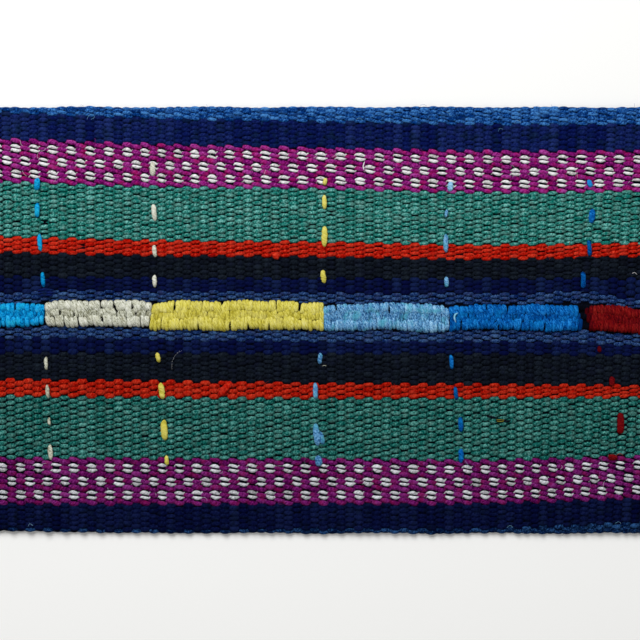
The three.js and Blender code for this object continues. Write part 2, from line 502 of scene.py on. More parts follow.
@dataclass(frozen=True)
class WoolFinish:
    """Dyed sheep's wool, spun and plied. It is matt, a little fuzzy, and heathered where the dye took
    unevenly, so that the eye sees slanting fibres and lighter and darker flecks and never a flat colour.
    Real fibres are 0.03 mm wide, too fine to show from here, so they are drawn as streaks ten times wider.

    Attributes:
        slot: The record's material slot.
        deep: The wool in shadow and where the dye is strongest.
        plain: Its plain colour.
        light: The fibres that catch the light or took less dye.
        tint: The colour of the fibres that were carded in undyed or in another dye.
        tint_share: How much of the tint shows where it is strongest, from 0 to 1.
        heather: How strongly its flecks show, from 0 to 1.
        gap_share: How much of the yarn's own colour is left under the painted shade in the gaps between
            yarns, where the rest is its deep colour.
        ply_shade: What is left of the colour under the painted shade in the groove between two plies.
        open_lift: How far a yarn lifts out of the gaps before the painted shade leaves it and it shows its
            whole colour, from 0 to 1.
        gap_lift: How far up a yarn the painted shade of the gaps reaches.
        ply_groove: How far up its ply the groove's shade reaches, from 0 to 1.
        fibre_length: How long its fibres look, in millimetres.
        fibre_width: How wide they look.
        streak_contrast: How strongly they show.
        fleck_size: How wide the heather's flecks are.
        fleck_contrast: How strongly they show in a wool whose heather is 1.
        tint_size: How wide its tinted patches are.
        tint_range: Where in their noise the patches start, and where they are strongest.
        roughness: Roughness of its surface.
        specular: How much of a plain gloss it keeps. Loose fibres scatter nearly all of it.
        bump_height: How far its fibres stand out.
        bump_strength: How strongly the light picks them out.
    """

    slot: str
    deep: str
    plain: str
    light: str
    tint: str
    tint_share: float = 0.25
    heather: float = 0.35
    gap_share: float = 0.3
    ply_shade: float = 0.75
    open_lift: float = 0.65
    gap_lift: float = 0.2
    ply_groove: float = 0.6
    fibre_length: float = 0.9
    fibre_width: float = 0.3
    streak_contrast: float = 2.4
    fleck_size: float = 0.55
    fleck_contrast: float = 4.0
    tint_size: float = 2.4
    tint_range: tuple[float, float] = (0.48, 0.7)
    roughness: float = 0.9
    specular: float = 0.02
    bump_height: float = 0.12
    bump_strength: float = 0.8

    def material(self) -> bpy.types.Material:
        """Builds the finish's material.

        Returns:
            The material, named for the wool that it is.
        """
        material = bpy.data.materials.new(self.slot)
        material.use_nodes = True
        tree = material.node_tree
        tree.nodes.clear()
        add = partial(add_node, tree)
        fibre = add("Attribute", {}, attribute_name="fibre").outputs["Vector"]
        tone = add("Attribute", {}, attribute_name="tone").outputs["Fac"]
        lift = add("Attribute", {}, attribute_name="lift").outputs["Fac"]
        place = add("TexCoord", {}).outputs["Object"]
        per_metre = 1.0 / METRES_PER_MM

        # Streaks of fibre along the twist and flecks of heather across it make the wool lighter or darker.
        scale = (per_metre / self.fibre_length, per_metre / self.fibre_width, 0.0)
        stretch = add("Mapping", {"Vector": fibre, "Scale": scale}).outputs["Vector"]
        noise = {"Vector": stretch, "Scale": 1.0, "Detail": 2.0, "Roughness": 0.6}
        streak = add("TexNoise", noise).outputs["Fac"]
        noise = {"Vector": place, "Scale": per_metre / self.fleck_size, "Detail": 2.0, "Roughness": 0.7}
        fleck = add("TexNoise", noise).outputs["Fac"]
        contrast = self.streak_contrast
        streaks = add("Math", {0: streak, 1: contrast, 2: -contrast / 2}, operation="MULTIPLY_ADD")
        contrast = self.fleck_contrast * self.heather
        flecks = add("Math", {0: fleck, 1: contrast, 2: -contrast / 2}, operation="MULTIPLY_ADD")
        uneven = add("Math", {0: streaks.outputs[0], 1: flecks.outputs[0]}, operation="ADD")
        shade = add("Math", {0: uneven.outputs[0], 1: tone}, operation="ADD", use_clamp=True)
        ramp = add("ValToRGB", {"Fac": shade.outputs[0]})
        ramp.color_ramp.elements[0].color = linear(self.deep)
        ramp.color_ramp.elements[1].color = linear(self.light)
        middle = ramp.color_ramp.elements.new(0.5)
        middle.color = linear(self.plain)

        # Patches take on some of the tint.
        noise = {"Vector": place, "Scale": per_metre / self.tint_size, "Detail": 1.0}
        patch = add("TexNoise", noise).outputs["Fac"]
        start, full = self.tint_range
        part = {"Value": patch, "From Min": start, "From Max": full, "To Max": self.tint_share}
        tint_part = add("MapRange", part).outputs["Result"]
        mix = {MIX_FACTOR: tint_part, MIX_FROM: ramp.outputs["Color"], MIX_TO: linear(self.tint)}
        tinted = add("Mix", mix, data_type="RGBA").outputs[MIX_RESULT]

        # Painted shade: where a yarn lies low in the gaps between yarns, its deep colour is painted in
        # instead.
        part = {"Value": lift, "From Min": self.gap_lift, "From Max": self.open_lift}
        part |= {"To Min": self.gap_share, "To Max": 1.0}
        open_part = add("MapRange", part, interpolation_type="SMOOTHSTEP").outputs["Result"]
        mix = {MIX_FACTOR: open_part, MIX_FROM: linear(self.deep), MIX_TO: tinted}
        settled = add("Mix", mix, data_type="RGBA").outputs[MIX_RESULT]

        # Painted shade darkens the groove between two plies.
        angle = add("SeparateXYZ", {"Vector": fibre}).outputs["Z"]
        sine = add("Math", {0: angle}, operation="SINE").outputs[0]
        crest = add("Math", {0: sine}, operation="ABSOLUTE").outputs[0]
        part = {"Value": crest, "From Min": 0.0, "From Max": self.ply_groove}
        part |= {"To Min": self.ply_shade, "To Max": 1.0}
        ply_part = add("MapRange", part, interpolation_type="SMOOTHSTEP").outputs["Result"]
        mix = {MIX_FACTOR: 1.0, MIX_FROM: settled, MIX_TO: ply_part}
        colour = add("Mix", mix, data_type="RGBA", blend_type="MULTIPLY").outputs[MIX_RESULT]

        relief = {"Height": streak, "Strength": self.bump_strength}
        relief["Distance"] = self.bump_height * METRES_PER_MM
        surface = {"Base Color": colour, "Roughness": self.roughness, "Specular IOR Level": self.specular}
        surface["Normal"] = add("Bump", relief).outputs["Normal"]
        add("OutputMaterial", {"Surface": add("BsdfPrincipled", surface).outputs["BSDF"]})
        return material


class Wool(Enum):
    """The dyed wools of the rug. The lower half of the cloth has deeper copies of the same wools: partly a
    deeper dye, partly painted shade for the less light that falls there.
    """

    # Dark yarn inside the cloth, made near black: partly its own dark dye, partly painted shade, since it
    # shows only in the gaps between the yarns.
    GROUND = WoolFinish("striped_ground", "#020306", "#05070f", "#0c1020", "#05070f", heather=0.2)
    # Cobalt, with long pale streaks where the dye did not take, so that it looks rubbed.
    MID_BLUE = WoolFinish(
        "mid_blue_wool", "#00205a", "#08448e", "#4480c0", "#386aa0", 0.35, 0.85, 0.3, 0.8, fibre_length=2.2
    )
    # Near black with blue lights on its crests. Its ribs show more than its single yarns.
    NAVY = WoolFinish("navy_wool", "#040d44", "#0b1850", "#1e2e66", "#0a1c2a", 0.6, 0.7, 0.55)
    # Purple with patches that turn to crimson, so that it glows between the white spots.
    MAGENTA = WoolFinish("magenta_wool", "#4c0448", "#8c1274", "#aa4c9e", "#a6144c", 0.5, 0.6, 0.5)
    # Bleached wool, nearly even, with a faint pink where it lies on the purple.
    WHITE = WoolFinish("white_wool", "#9c9896", "#e2e2e4", "#f4f4f6", "#d8d2d4", 0.25, 0.35, 0.3)
    # Teal, the most heathered of all: pale and dark fibres side by side give it a grainy bloom.
    GREEN = WoolFinish(
        "green_wool", "#005a50", "#167870", "#7cbeb6", "#6a847e", 0.4, 0.76, 0.12, open_lift=0.9
    )
    # Bright red with orange lights, warm even in its gaps.
    RED = WoolFinish("red_wool", "#840402", "#b61406", "#d4442c", "#b03828", 0.4, 0.6, 0.4)
    # Black with a cold sheen, in which the weave shows only as a faint grain.
    BLACK = WoolFinish("black_wool", "#080a12", "#0d131c", "#1e2630", "#12162a", 0.4, 0.4, 0.7)
    # The navy beside the band of blocks, deeper than the other, so that the blocks stand out.
    INNER_NAVY = WoolFinish("navy_wool", "#040932", "#08103c", "#14224a", "#0a1420", 0.5, 0.35, 0.6)
    # Greyish blue, soft and dusty, on the two cords beside the blocks.
    SLATE = WoolFinish("slate_wool", "#04184c", "#1a3464", "#40608c", "#30365a", 0.5, 0.7, 0.25)
    # A red a shade deeper than the upper one.
    LOWER_RED = WoolFinish("red_wool", "#780402", "#a61204", "#c43c24", "#a23222", 0.4, 0.6, 0.4)
    # A bottle green rather than teal, with the same bloom.
    LOWER_GREEN = WoolFinish(
        "green_wool", "#00423c", "#10625c", "#609e96", "#546e68", 0.4, 0.78, 0.12, open_lift=0.85
    )
    # A plum purple, duller than the upper one.
    LOWER_MAGENTA = WoolFinish("magenta_wool", "#340434", "#680c5c", "#84367e", "#760e36", 0.5, 0.6, 0.45)
    # A white that looks a little grey and blue beside the upper one.
    LOWER_WHITE = WoolFinish("white_wool", "#808082", "#c6c8ce", "#e2e4ec", "#beb8ba", 0.25, 0.35, 0.3)
    # Navy that is black to the eye, but for its crests.
    LOWER_NAVY = WoolFinish("navy_wool", "#02062a", "#070e34", "#121c42", "#060e16", 0.5, 0.7, 0.55)
    # Ink blue with a few pale streaks.
    LOWER_BLUE = WoolFinish(
        "mid_blue_wool", "#000a2c", "#061b40", "#284e7e", "#182e4a", 0.4, 0.9, 0.3, 0.8, fibre_length=2.2
    )
    # The blocks' wools are thick and loosely spun, with long soft fibres. This is a clear sky blue.
    BRIGHT_BLUE = WoolFinish(
        "bright_blue_wool", "#004c88", "#0496d8", "#34b0e2", "#24bccc", 0.3, 0.4, 0.3, 0.9, fibre_length=1.8
    )
    # Natural cream, with olive shadows between its strands.
    CREAM = WoolFinish(
        "cream_wool", "#6e6e56", "#c6c8b6", "#e2e2d8", "#b4b09a", 0.3, 0.35, 0.05, 0.88, fibre_length=1.8
    )
    # Pale mustard, the smoothest of the blocks.
    YELLOW = WoolFinish(
        "yellow_wool", "#9c9028", "#cec450", "#e0d882", "#d6ce82", 0.3, 0.22, 0.4, 0.94, fibre_length=1.8
    )
    # Powder blue with turquoise patches, mottled like felt.
    LIGHT_BLUE = WoolFinish(
        "light_blue_wool", "#1c4878", "#5894c4", "#98c6e4", "#50acbc", 0.5, 0.5, 0.25, 0.9, fibre_length=1.8
    )
    # Strong azure, with painted shade in navy at the edges of its strands.
    AZURE = WoolFinish(
        "azure_wool", "#002a66", "#0357a6", "#2688d4", "#0872b6", 0.5, 0.4, 0.35, 0.9, fibre_length=1.8
    )
    # Wine red, dark and even, with a brick light on its crests.
    DARK_RED = WoolFinish(
        "dark_red_wool", "#36020a", "#70080c", "#88241e", "#5a0a14", 0.4, 0.25, 0.5, 0.92, fibre_length=1.8
    )


class Dyer:
    """Gives pieces their wool, and makes each wool's material once."""

    def __init__(self) -> None:
        """Starts with no material made."""
        self._made: dict[Wool, bpy.types.Material] = {}

    def dress(self, piece: bpy.types.Object, wool: Wool) -> None:
        """Gives a piece its material.

        Args:
            piece: What is dressed.
            wool: The wool that it is made of.
        """
        if wool not in self._made:
            self._made[wool] = wool.value.material()
        piece.data.materials.clear()
        piece.data.materials.append(self._made[wool])


BORDER_STATIONS = (-102.4, -51.2, 0.0, 51.2, 102.4)


@dataclass(frozen=True)
class Border:
    """The line between two stripes: its Y at the five border stations."""

    heights: tuple[float, float, float, float, float]

    def at(self, form: ClothForm, x: Array) -> Array:
        """The border's Y at places along the cloth."""
        return curve_through(x, BORDER_STATIONS, self.heights)


@dataclass(frozen=True)
class CordBorder:
    """A border that keeps beside a slate cord."""

    side: Side
    offset: float

    def at(self, form: ClothForm, x: Array) -> Array:
        """The border's Y at places along the cloth."""
        return form.cord_line(self.side, x) + self.offset


@dataclass(frozen=True)
class OffsetBorder:
    """A border that runs beside another one at an even distance."""

    beside: Border
    offset: float

    def at(self, form: ClothForm, x: Array) -> Array:
        """The border's Y at places along the cloth."""
        return self.beside.at(form, x) + self.offset


AnyBorder = Border | CordBorder | OffsetBorder

UPPER_BLUE_NAVY = Border((66.4, 64.5, 63.5, 62.6, 62.6))
UPPER_NAVY_MAGENTA = Border((58.1, 56.3, 55.2, 54.2, 54.2))
UPPER_MAGENTA_GREEN = Border((44.3, 42.7, 42.1, 40.8, 41.4))
UPPER_GREEN_RED = Border((26.7, 25.4, 25.0, 24.0, 24.5))
UPPER_RED_BLACK = Border((21.6, 20.6, 20.2, 19.4, 20.3))
UPPER_BLACK_NAVY = Border((13.9, 13.4, 13.3, 13.2, 13.3))
LOWER_NAVY_BLACK = Border((-10.6, -10.7, -10.8, -10.9, -11.4))
LOWER_BLACK_RED = Border((-19.0, -19.5, -20.2, -20.6, -21.0))
LOWER_RED_GREEN = Border((-24.3, -24.8, -25.1, -25.0, -24.8))
LOWER_GREEN_MAGENTA = Border((-44.2, -44.5, -44.6, -45.0, -43.7))
LOWER_MAGENTA_NAVY = Border((-59.0, -59.2, -59.0, -58.9, -57.1))
LOWER_NAVY_BLUE = Border((-66.6, -67.5, -67.0, -66.9, -64.8))

# The order of magenta and white warps in a spotted stripe, from its top. Wefts bring up every second
# warp, so two white warps with a magenta one between them show as a pair of white spots.
SPOTTED_THREADING = "MMWMWMMWMWMMWMWMM"


@dataclass(frozen=True)
class Stripe:
    """One coloured stripe of warps.

    Attributes:
        name: The piece's name.
        wool: What the warps are made of.
        warps: How many warps lie side by side in it.
        top: The stripe's upper border.
        bottom: Its lower border.
        white: The wool of the white warps of a spotted stripe.
        unevenness: How much one float's tone differs from the next.
        rib_unevenness: How much one weft's row of floats differs in tone from the next.
        leans: How far the right end of a float rises over its left end, at the left and the right end
            of the cloth.
        fullness: A float's half width, as a share of the warp pitch.
        crossing: A warp's half width where it passes from one face to the other, as such a share.
    """

    name: str
    wool: Wool
    warps: int
    top: AnyBorder
    bottom: AnyBorder
    white: Wool | None = None
    unevenness: float = 0.08
    rib_unevenness: float = 0.04
    leans: tuple[float, float] = (0.0, 0.0)
    fullness: float = 1.0
    crossing: float = 0.5

    def is_white(self, number: int) -> bool:
        """Whether a warp, counted from the top, is one of the white ones of a spotted stripe."""
        return self.white is not None and SPOTTED_THREADING[number] == "W"

    def pitch(self, form: ClothForm, x: Array) -> Array:
        """How far apart its warps lie at places along the cloth."""
        return np.abs(self.top.at(form, x) - self.bottom.at(form, x)) / self.warps


UPPER_SLATE = (CordBorder(Side.UPPER, 1.55), CordBorder(Side.UPPER, -1.95))
LOWER_SLATE = (CordBorder(Side.LOWER, 1.9), CordBorder(Side.LOWER, -1.9))
UPPER_CUT = OffsetBorder(UPPER_BLUE_NAVY, 6.9)
LOWER_CUT = OffsetBorder(LOWER_NAVY_BLUE, -3.8)

# The navy stripes differ more from row to row than from yarn to yarn.
NAVY_LOOK: dict[str, float] = {"unevenness": 0.05, "rib_unevenness": 0.22, "fullness": 1.22}
BLACK_LOOK: dict[str, float] = {"unevenness": 0.1, "fullness": 1.2}
SPOTTED_LOOK: dict[str, float] = {"unevenness": 0.12, "fullness": 1.08}

UPPER_STRIPES = (
    Stripe(
        "mid_blue_warps_upper", Wool.MID_BLUE, 11, UPPER_CUT, UPPER_BLUE_NAVY, unevenness=0.22,
        leans=(-0.22, -0.25), fullness=1.12,
    ),
    Stripe("navy_warps_upper", Wool.NAVY, 11, UPPER_BLUE_NAVY, UPPER_NAVY_MAGENTA, **NAVY_LOOK),
    Stripe(
        "magenta_warps_upper", Wool.MAGENTA, 17, UPPER_NAVY_MAGENTA, UPPER_MAGENTA_GREEN, Wool.WHITE,
        leans=(-0.62, -0.38), **SPOTTED_LOOK,
    ),
    Stripe(
        "green_warps_upper", Wool.GREEN, 23, UPPER_MAGENTA_GREEN, UPPER_GREEN_RED, leans=(0.17, 0.08),
        crossing=0.44,
    ),
    Stripe(
        "red_warps_upper", Wool.RED, 7, UPPER_GREEN_RED, UPPER_RED_BLACK, leans=(0.2, 0.24), fullness=1.08
    ),
    Stripe("black_warps_upper", Wool.BLACK, 9, UPPER_RED_BLACK, UPPER_BLACK_NAVY, **BLACK_LOOK),
    Stripe("inner_navy_warps_upper", Wool.INNER_NAVY, 6, UPPER_BLACK_NAVY, UPPER_SLATE[0], **NAVY_LOOK),
    Stripe("slate_warps_upper", Wool.SLATE, 5, *UPPER_SLATE, unevenness=0.12),
)
LOWER_STRIPES = (
    Stripe("slate_warps_lower", Wool.SLATE, 5, *LOWER_SLATE, unevenness=0.12),
    Stripe("inner_navy_warps_lower", Wool.INNER_NAVY, 5, LOWER_SLATE[1], LOWER_NAVY_BLACK, **NAVY_LOOK),
    Stripe("black_warps_lower", Wool.BLACK, 12, LOWER_NAVY_BLACK, LOWER_BLACK_RED, **BLACK_LOOK),
    Stripe(
        "red_warps_lower", Wool.LOWER_RED, 6, LOWER_BLACK_RED, LOWER_RED_GREEN, leans=(0.2, 0.25),
        fullness=1.08,
    ),
    Stripe(
        "green_warps_lower", Wool.LOWER_GREEN, 23, LOWER_RED_GREEN, LOWER_GREEN_MAGENTA,
        leans=(0.34, 0.12), fullness=0.96, crossing=0.44,
    ),
    Stripe(
        "magenta_warps_lower", Wool.LOWER_MAGENTA, 17, LOWER_GREEN_MAGENTA, LOWER_MAGENTA_NAVY,
        Wool.LOWER_WHITE, leans=(-0.3, -0.65), **SPOTTED_LOOK,
    ),
    Stripe("navy_warps_lower", Wool.LOWER_NAVY, 10, LOWER_MAGENTA_NAVY, LOWER_NAVY_BLUE, **NAVY_LOOK),
    Stripe(
        "mid_blue_warps_lower", Wool.LOWER_BLUE, 5, LOWER_NAVY_BLUE, LOWER_CUT, unevenness=0.2,
        fullness=1.12,
    ),
)


@dataclass(frozen=True)
class SunkenFloat:
    """A place in the photograph where a float has sunk between its neighbours and leaves a dark slit."""

    column: float
    row: float


SUNKEN_FLOATS = (
    SunkenFloat(331, 212),
    SunkenFloat(309, 229),
    SunkenFloat(280, 222),
    SunkenFloat(45, 223),
    SunkenFloat(612, 213),
    SunkenFloat(455, 426),
    SunkenFloat(83, 247),
)


@dataclass(frozen=True)
class Dash:
    """A short float of the blocks' own yarn across the stripes, by its places in the photograph.

    Attributes:
        wool: Its wool.
        x: The column that its middle is in.
        first: The row where it comes up.
        last: The row where it goes down.
        width: How many pixels wide it is.
        tone: Lightness of its wool.
        lean: How many pixels its lower end lies to the right of its upper end.
        bluntness: How full it stays towards its ends.
    """

    wool: Wool
    x: float
    first: float
    last: float
    width: float = 4.6
    tone: float = 0.42
    lean: float = 0.0
    bluntness: float = 3.5

    @property
    def middle(self) -> tuple[float, float]:
        """The middle of the dash on the cloth."""
        return photo_x(self.x), photo_y((self.first + self.last) / 2)

    @property
    def half_length(self) -> float:
        """Half of the dash's length on the cloth."""
        return (self.last - self.first) / 2 * MM_PER_PIXEL


def photo_x(column: float) -> float:
    """The X on the cloth of a column of the photograph."""
    return (column - PHOTO_PIXELS / 2) * MM_PER_PIXEL


def photo_y(row: float) -> float:
    """The Y on the cloth of a row of the photograph."""
    return (MIDDLE_ROW - row) * MM_PER_PIXEL


DASHES = (
    Dash(Wool.BRIGHT_BLUE, 36.8, 179, 190, 6.2, lean=-0.9),
    Dash(Wool.BRIGHT_BLUE, 37, 204, 217, 5.4),
    Dash(Wool.BRIGHT_BLUE, 39.7, 235, 251, 4.9, lean=1.7),
    Dash(Wool.BRIGHT_BLUE, 42.8, 273, 287, 4.5, 0.22, 1.4),
    Dash(Wool.CREAM, 152.6, 163, 176, 5.8, 0.55),
    Dash(Wool.CREAM, 154.1, 205, 221, 5.1, 0.7, 1.2),
    Dash(Wool.CREAM, 154.4, 246, 257, 4.5, 0.5, 0.9),
    Dash(Wool.CREAM, 154.5, 276, 287, 4.3, 0.65, 0.4),
    Dash(Wool.YELLOW, 325, 179.5, 184.5, 4.5, 0.7, -0.9),
    Dash(Wool.YELLOW, 324.4, 196, 209, 4.8, 0.7),
    Dash(Wool.YELLOW, 324.4, 227, 247, 6.0, 0.6, -0.4),
    Dash(Wool.YELLOW, 323.3, 271, 283, 5.4, lean=1.7),
    Dash(Wool.LIGHT_BLUE, 450.4, 183, 191, 5.8, 0.85, -1.5),
    Dash(Wool.LIGHT_BLUE, 446.3, 211, 217, 3.2, lean=-1.3),
    Dash(Wool.LIGHT_BLUE, 446, 235, 252, 5.1, 0.5, 0.5),
    Dash(Wool.LIGHT_BLUE, 446.6, 278, 287, 4.7, lean=0.6),
    Dash(Wool.AZURE, 590, 181, 187, 5.0, 0.95, 2.5),
    Dash(Wool.AZURE, 592.2, 210, 223, 6.2, 0.5, -2.2),
    Dash(Wool.AZURE, 589.5, 241, 256, 4.4, 0.12, 1.3, 6.0),
    Dash(Wool.AZURE, 583.3, 273, 288, 5.0, 0.16, bluntness=9.0),
    Dash(Wool.CREAM, 46, 358, 370, 3.8, 0.3, 0.6),
    Dash(Wool.CREAM, 47.4, 386, 398, 3.9, 0.3, 1.0),
    Dash(Wool.CREAM, 49, 419, 425, 3.1, 0.25, 0.6),
    Dash(Wool.CREAM, 50.1, 446, 460, 4.7, 0.35, 0.9),
    Dash(Wool.YELLOW, 157.9, 354, 362, 4.7, 0.35, 1.7),
    Dash(Wool.YELLOW, 161.6, 384, 399, 6.0, 0.42, 2.4),
    Dash(Wool.YELLOW, 164.2, 421, 440, 7.0, 0.42, 1.2),
    Dash(Wool.YELLOW, 166.6, 457, 465, 4.5, 0.45, 1.0),
    Dash(Wool.LIGHT_BLUE, 320, 354, 364, 4.5, 0.35, -0.9),
    Dash(Wool.LIGHT_BLUE, 315.4, 384, 399, 5.1, lean=0.8),
    Dash(Wool.LIGHT_BLUE, 316.6, 424.5, 446, 6.4, 0.36, 2.2),
    Dash(Wool.LIGHT_BLUE, 321.6, 433, 444.5, 5.6, 0.22, 3.0),
    Dash(Wool.LIGHT_BLUE, 318.5, 457, 466, 7.4, 0.3, 0.7),
    Dash(Wool.AZURE, 451.5, 356, 369, 4.3, 0.5, 1.1),
    Dash(Wool.AZURE, 456, 388, 400, 4.3, 0.15, 1.4),
    Dash(Wool.AZURE, 460.8, 418, 432, 5.2, 0.28, 1.1),
    Dash(Wool.AZURE, 461, 450, 463, 5.3),
    Dash(Wool.DARK_RED, 599.5, 347.5, 352, 4.0, -0.2),
    Dash(Wool.DARK_RED, 612, 378, 386, 5.6, 0.36),
    Dash(Wool.DARK_RED, 620.8, 414, 434, 7.0, 0.36, bluntness=9.0),
    Dash(Wool.DARK_RED, 612.8, 456, 460.2, 9.8, 0.3),
    Dash(Wool.RED, 276, 254, 258.5, 7.8, 0.6, -1.8),
    Dash(Wool.RED, 583, 247, 256.5, 8.4, 0.42, bluntness=8.0),
    Dash(Wool.RED, 225, 382.5, 396, 7.4, 0.42, -14.0),
)


def tapered(share: Array, bluntness: float, tip: float) -> Array:
    """How full a short yarn is along its length.

    Args:
        share: Places on it, from -1 at one tip to 1 at the other.
        bluntness: How full it stays towards its tips, as a power.
        tip: How full it is at the tips, before they are rounded.

    Returns:
        Its fullness at each place.
    """
    return np.clip(1.0 - np.abs(share) ** bluntness, tip, 1.0) ** TIP_ROUNDNESS


@dataclass
class Fuzz:
    """Fine loose fibres that stand up from the yarns, and threads that lie on them.

    Attributes:
        bend: How far a fibre turns from its heading, in radians.
        least_rise: How high the flattest fibre arches, as a share of the tallest one's rise.
        root_depth: How deep a fibre's ends are in the yarns.
        thick_from: The half width from which a thread is drawn as a yarn with tapered ends.
    """

    rng: np.random.Generator
    half_width: float = 0.035
    shortest: float = 0.7
    longest: float = 2.4
    rings: int = 5
    bend: float = 1.2
    rise: float = 0.35
    least_rise: float = 0.3
    root_depth: float = 0.05
    tone: float = 0.75
    thick_from: float = 0.12
    thick_bluntness: float = 4.0
    thick_tip: float = 0.1

    def fibre(self, x: float, y: float, z: float) -> Yarn:
        """Makes one loose fibre that starts and ends in the yarns.

        Args:
            x: Where it starts along the cloth.
            y: Where it starts across it.
            z: The height of the yarns there.

        Returns:
            The fibre.
        """
        length = self.rng.uniform(self.shortest, self.longest)
        heading = self.rng.uniform(0.0, 2 * np.pi)
        bend = self.rng.normal() * self.bend
        share = np.linspace(0.0, 1.0, self.rings)
        turned = heading + bend * share
        arch = self.rise * self.rng.uniform(self.least_rise, 1.0) * np.sin(np.pi * share)
        path = [
            x + length * share * np.cos(turned),
            y + length * share * np.sin(turned),
            z + arch - self.root_depth,
        ]
        return self.thread(np.stack(path, axis=1), self.half_width, self.tone)

    def thread(self, path: Array, half_width: float, tone: float) -> Yarn:
        """Makes a thread along a path, of even thickness if it is fine and tapered if it is thick.

        Args:
            path: Middle of each of its rings.
            half_width: Half of its thickness.
            tone: Lightness of its wool.

        Returns:
            The thread.
        """
        even = np.ones(len(path))
        heading = path[-1] - path[0]
        side = Vector((-heading[1], heading[0], 0.0)).normalized()
        thick = half_width > self.thick_from
        share = np.linspace(-1.0, 1.0, len(path))
        half = half_width * (tapered(share, self.thick_bluntness, self.thick_tip) if thick else even)
        return Yarn(path, half, half, side, tone * even, even, 0.0, sides=8 if thick else 4)


@dataclass(frozen=True)
class LooseThread:
    """A loose hair or a slipped thread that lies on the cloth.

    Attributes:
        wool: Its wool.
        places: Places that it runs through in the photograph.
        half_width: Half of its thickness.
        clear: How far its middle line lies over the yarns at its ends.
        rise: How much higher it arches in the middle.
        tone: Lightness of its wool.
    """

    wool: Wool
    places: tuple[tuple[float, float], ...]
    half_width: float = 0.05
    clear: float = 0.25
    rise: float = 0.2
    tone: float = 0.95


LOOSE_THREADS = (
    LooseThread(Wool.WHITE, ((182, 351), (178, 353), (174, 358), (172, 364), (172, 370)), 0.015, tone=0.6),
    LooseThread(Wool.LIGHT_BLUE, ((87, 120), (89, 116), (93, 115), (94.5, 118), (91, 120)), 0.035),
    LooseThread(Wool.LIGHT_BLUE, ((356, 122), (357.5, 119), (361, 119), (362, 122)), 0.03),
    LooseThread(Wool.LIGHT_BLUE, ((389, 121), (391, 124)), 0.04),
    LooseThread(Wool.LIGHT_BLUE, ((514, 124), (517, 121), (521, 123)), 0.04),
    LooseThread(Wool.LIGHT_BLUE, ((498, 132), (500, 129), (503, 130)), 0.03),
    LooseThread(Wool.LIGHT_BLUE, ((446, 112), (449, 114), (450, 117)), 0.03),
    LooseThread(Wool.WHITE, ((364.5, 162), (363.2, 167), (364.2, 171)), 0.16, 0.2, 0.1),
    LooseThread(Wool.WHITE, ((632, 274), (634.5, 273), (637, 275)), 0.05),
    LooseThread(Wool.LIGHT_BLUE, ((465, 461), (467, 464), (469, 468)), 0.03),
    LooseThread(Wool.LIGHT_BLUE, ((507, 528), (510, 526), (513, 528)), 0.03),
    LooseThread(Wool.LIGHT_BLUE, ((615, 524), (618, 522), (621, 524)), 0.03),
    LooseThread(Wool.LIGHT_BLUE, ((28, 527), (30, 524), (33, 526)), 0.03),
    LooseThread(Wool.LIGHT_BLUE, ((457.5, 313.5), (455, 315), (454, 318), (455.5, 323)), 0.3),
    LooseThread(Wool.DARK_RED, ((617, 455.5), (620, 454), (623, 456)), 0.1),
    LooseThread(Wool.CREAM, ((322, 366.6), (324, 366), (326.3, 366.3)), 0.07, tone=0.3),
    LooseThread(Wool.YELLOW, ((496.5, 420.4), (500, 420.2), (504, 420.6)), 0.07, 0.32, 0.12, 0.0),
    LooseThread(Wool.YELLOW, ((497, 422), (500.5, 422), (503.5, 422.2)), 0.06, 0.28, 0.12, 0.0),
    LooseThread(Wool.BLACK, ((486.5, 416.8), (492, 417.4), (497, 418.8)), 0.28, -0.14, 0.1, 0.5),
    LooseThread(Wool.BLACK, ((495.5, 421.3), (500, 421.2), (505, 421.4)), 0.6, -0.38, 0.12, 0.5),
    LooseThread(Wool.BLACK, ((503.5, 421.6), (507, 421.8), (511, 421)), 0.3, -0.14, 0.1, 0.5),
    LooseThread(Wool.BLACK, ((575, 258.4), (585, 257.9), (596, 258.4)), 0.42, -0.1, 0.1, 0.5),
    LooseThread(Wool.NAVY, ((37, 290.8), (46, 290.2), (54, 290.8)), 0.45, -0.15, 0.15, 0.5),
    LooseThread(Wool.NAVY, ((38, 293.4), (47, 292.9), (55, 293.4)), 0.45, -0.15, 0.15, 0.55),
    LooseThread(Wool.NAVY, ((40, 295.9), (47, 295.6), (53, 295.9)), 0.4, -0.15, 0.1, 0.45),
)


@dataclass
class YarnWork:
    """What all the work in spun yarn shares.

    Attributes:
        form: The cloth's outside form.
        spinner: What turns yarns into meshes.
        dyer: What gives them their wool.
        rng: The one source of random numbers, which is always drawn from in the same order.
    """

    form: ClothForm
    spinner: YarnSpinner
    dyer: Dyer
    rng: np.random.Generator

    def ground_at(self, x: float, y: float) -> float:
        """The height of the ground's top face at one place."""
        return float(self.form.top(np.array(x), np.array(y)))

    def piece(self, name: str, yarns: Sequence[Yarn], wool: Wool) -> bpy.types.Object:
        """Spins yarns into one piece, dresses it and sets it on its body.

        Args:
            name: The piece's name.
            yarns: What it is made of.
            wool: Their wool.

        Returns:
            The piece.
        """
        piece = self.spinner.spin(name, yarns)
        self.dyer.dress(piece, wool)
        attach(piece, BODY)
        return piece

    def pieces_by_wool(
        self, kind: str, plans: Sequence[Any], yarn_of: Callable[[Any], Yarn]
    ) -> list[bpy.types.Object]:
        """Builds one piece for each wool that dashes or threads are made of.

        Args:
            kind: The end of the pieces' names.
            plans: The dashes or threads.
            yarn_of: What makes the yarn of one of them.

        Returns:
            The pieces.
        """
        pieces: list[bpy.types.Object] = []
        for wool in dict.fromkeys(plan.wool for plan in plans):
            yarns = [yarn_of(plan) for plan in plans if plan.wool is wool]
            pieces.append(self.piece(f"{wool.name.lower()}_{kind}", yarns, wool))
        return pieces


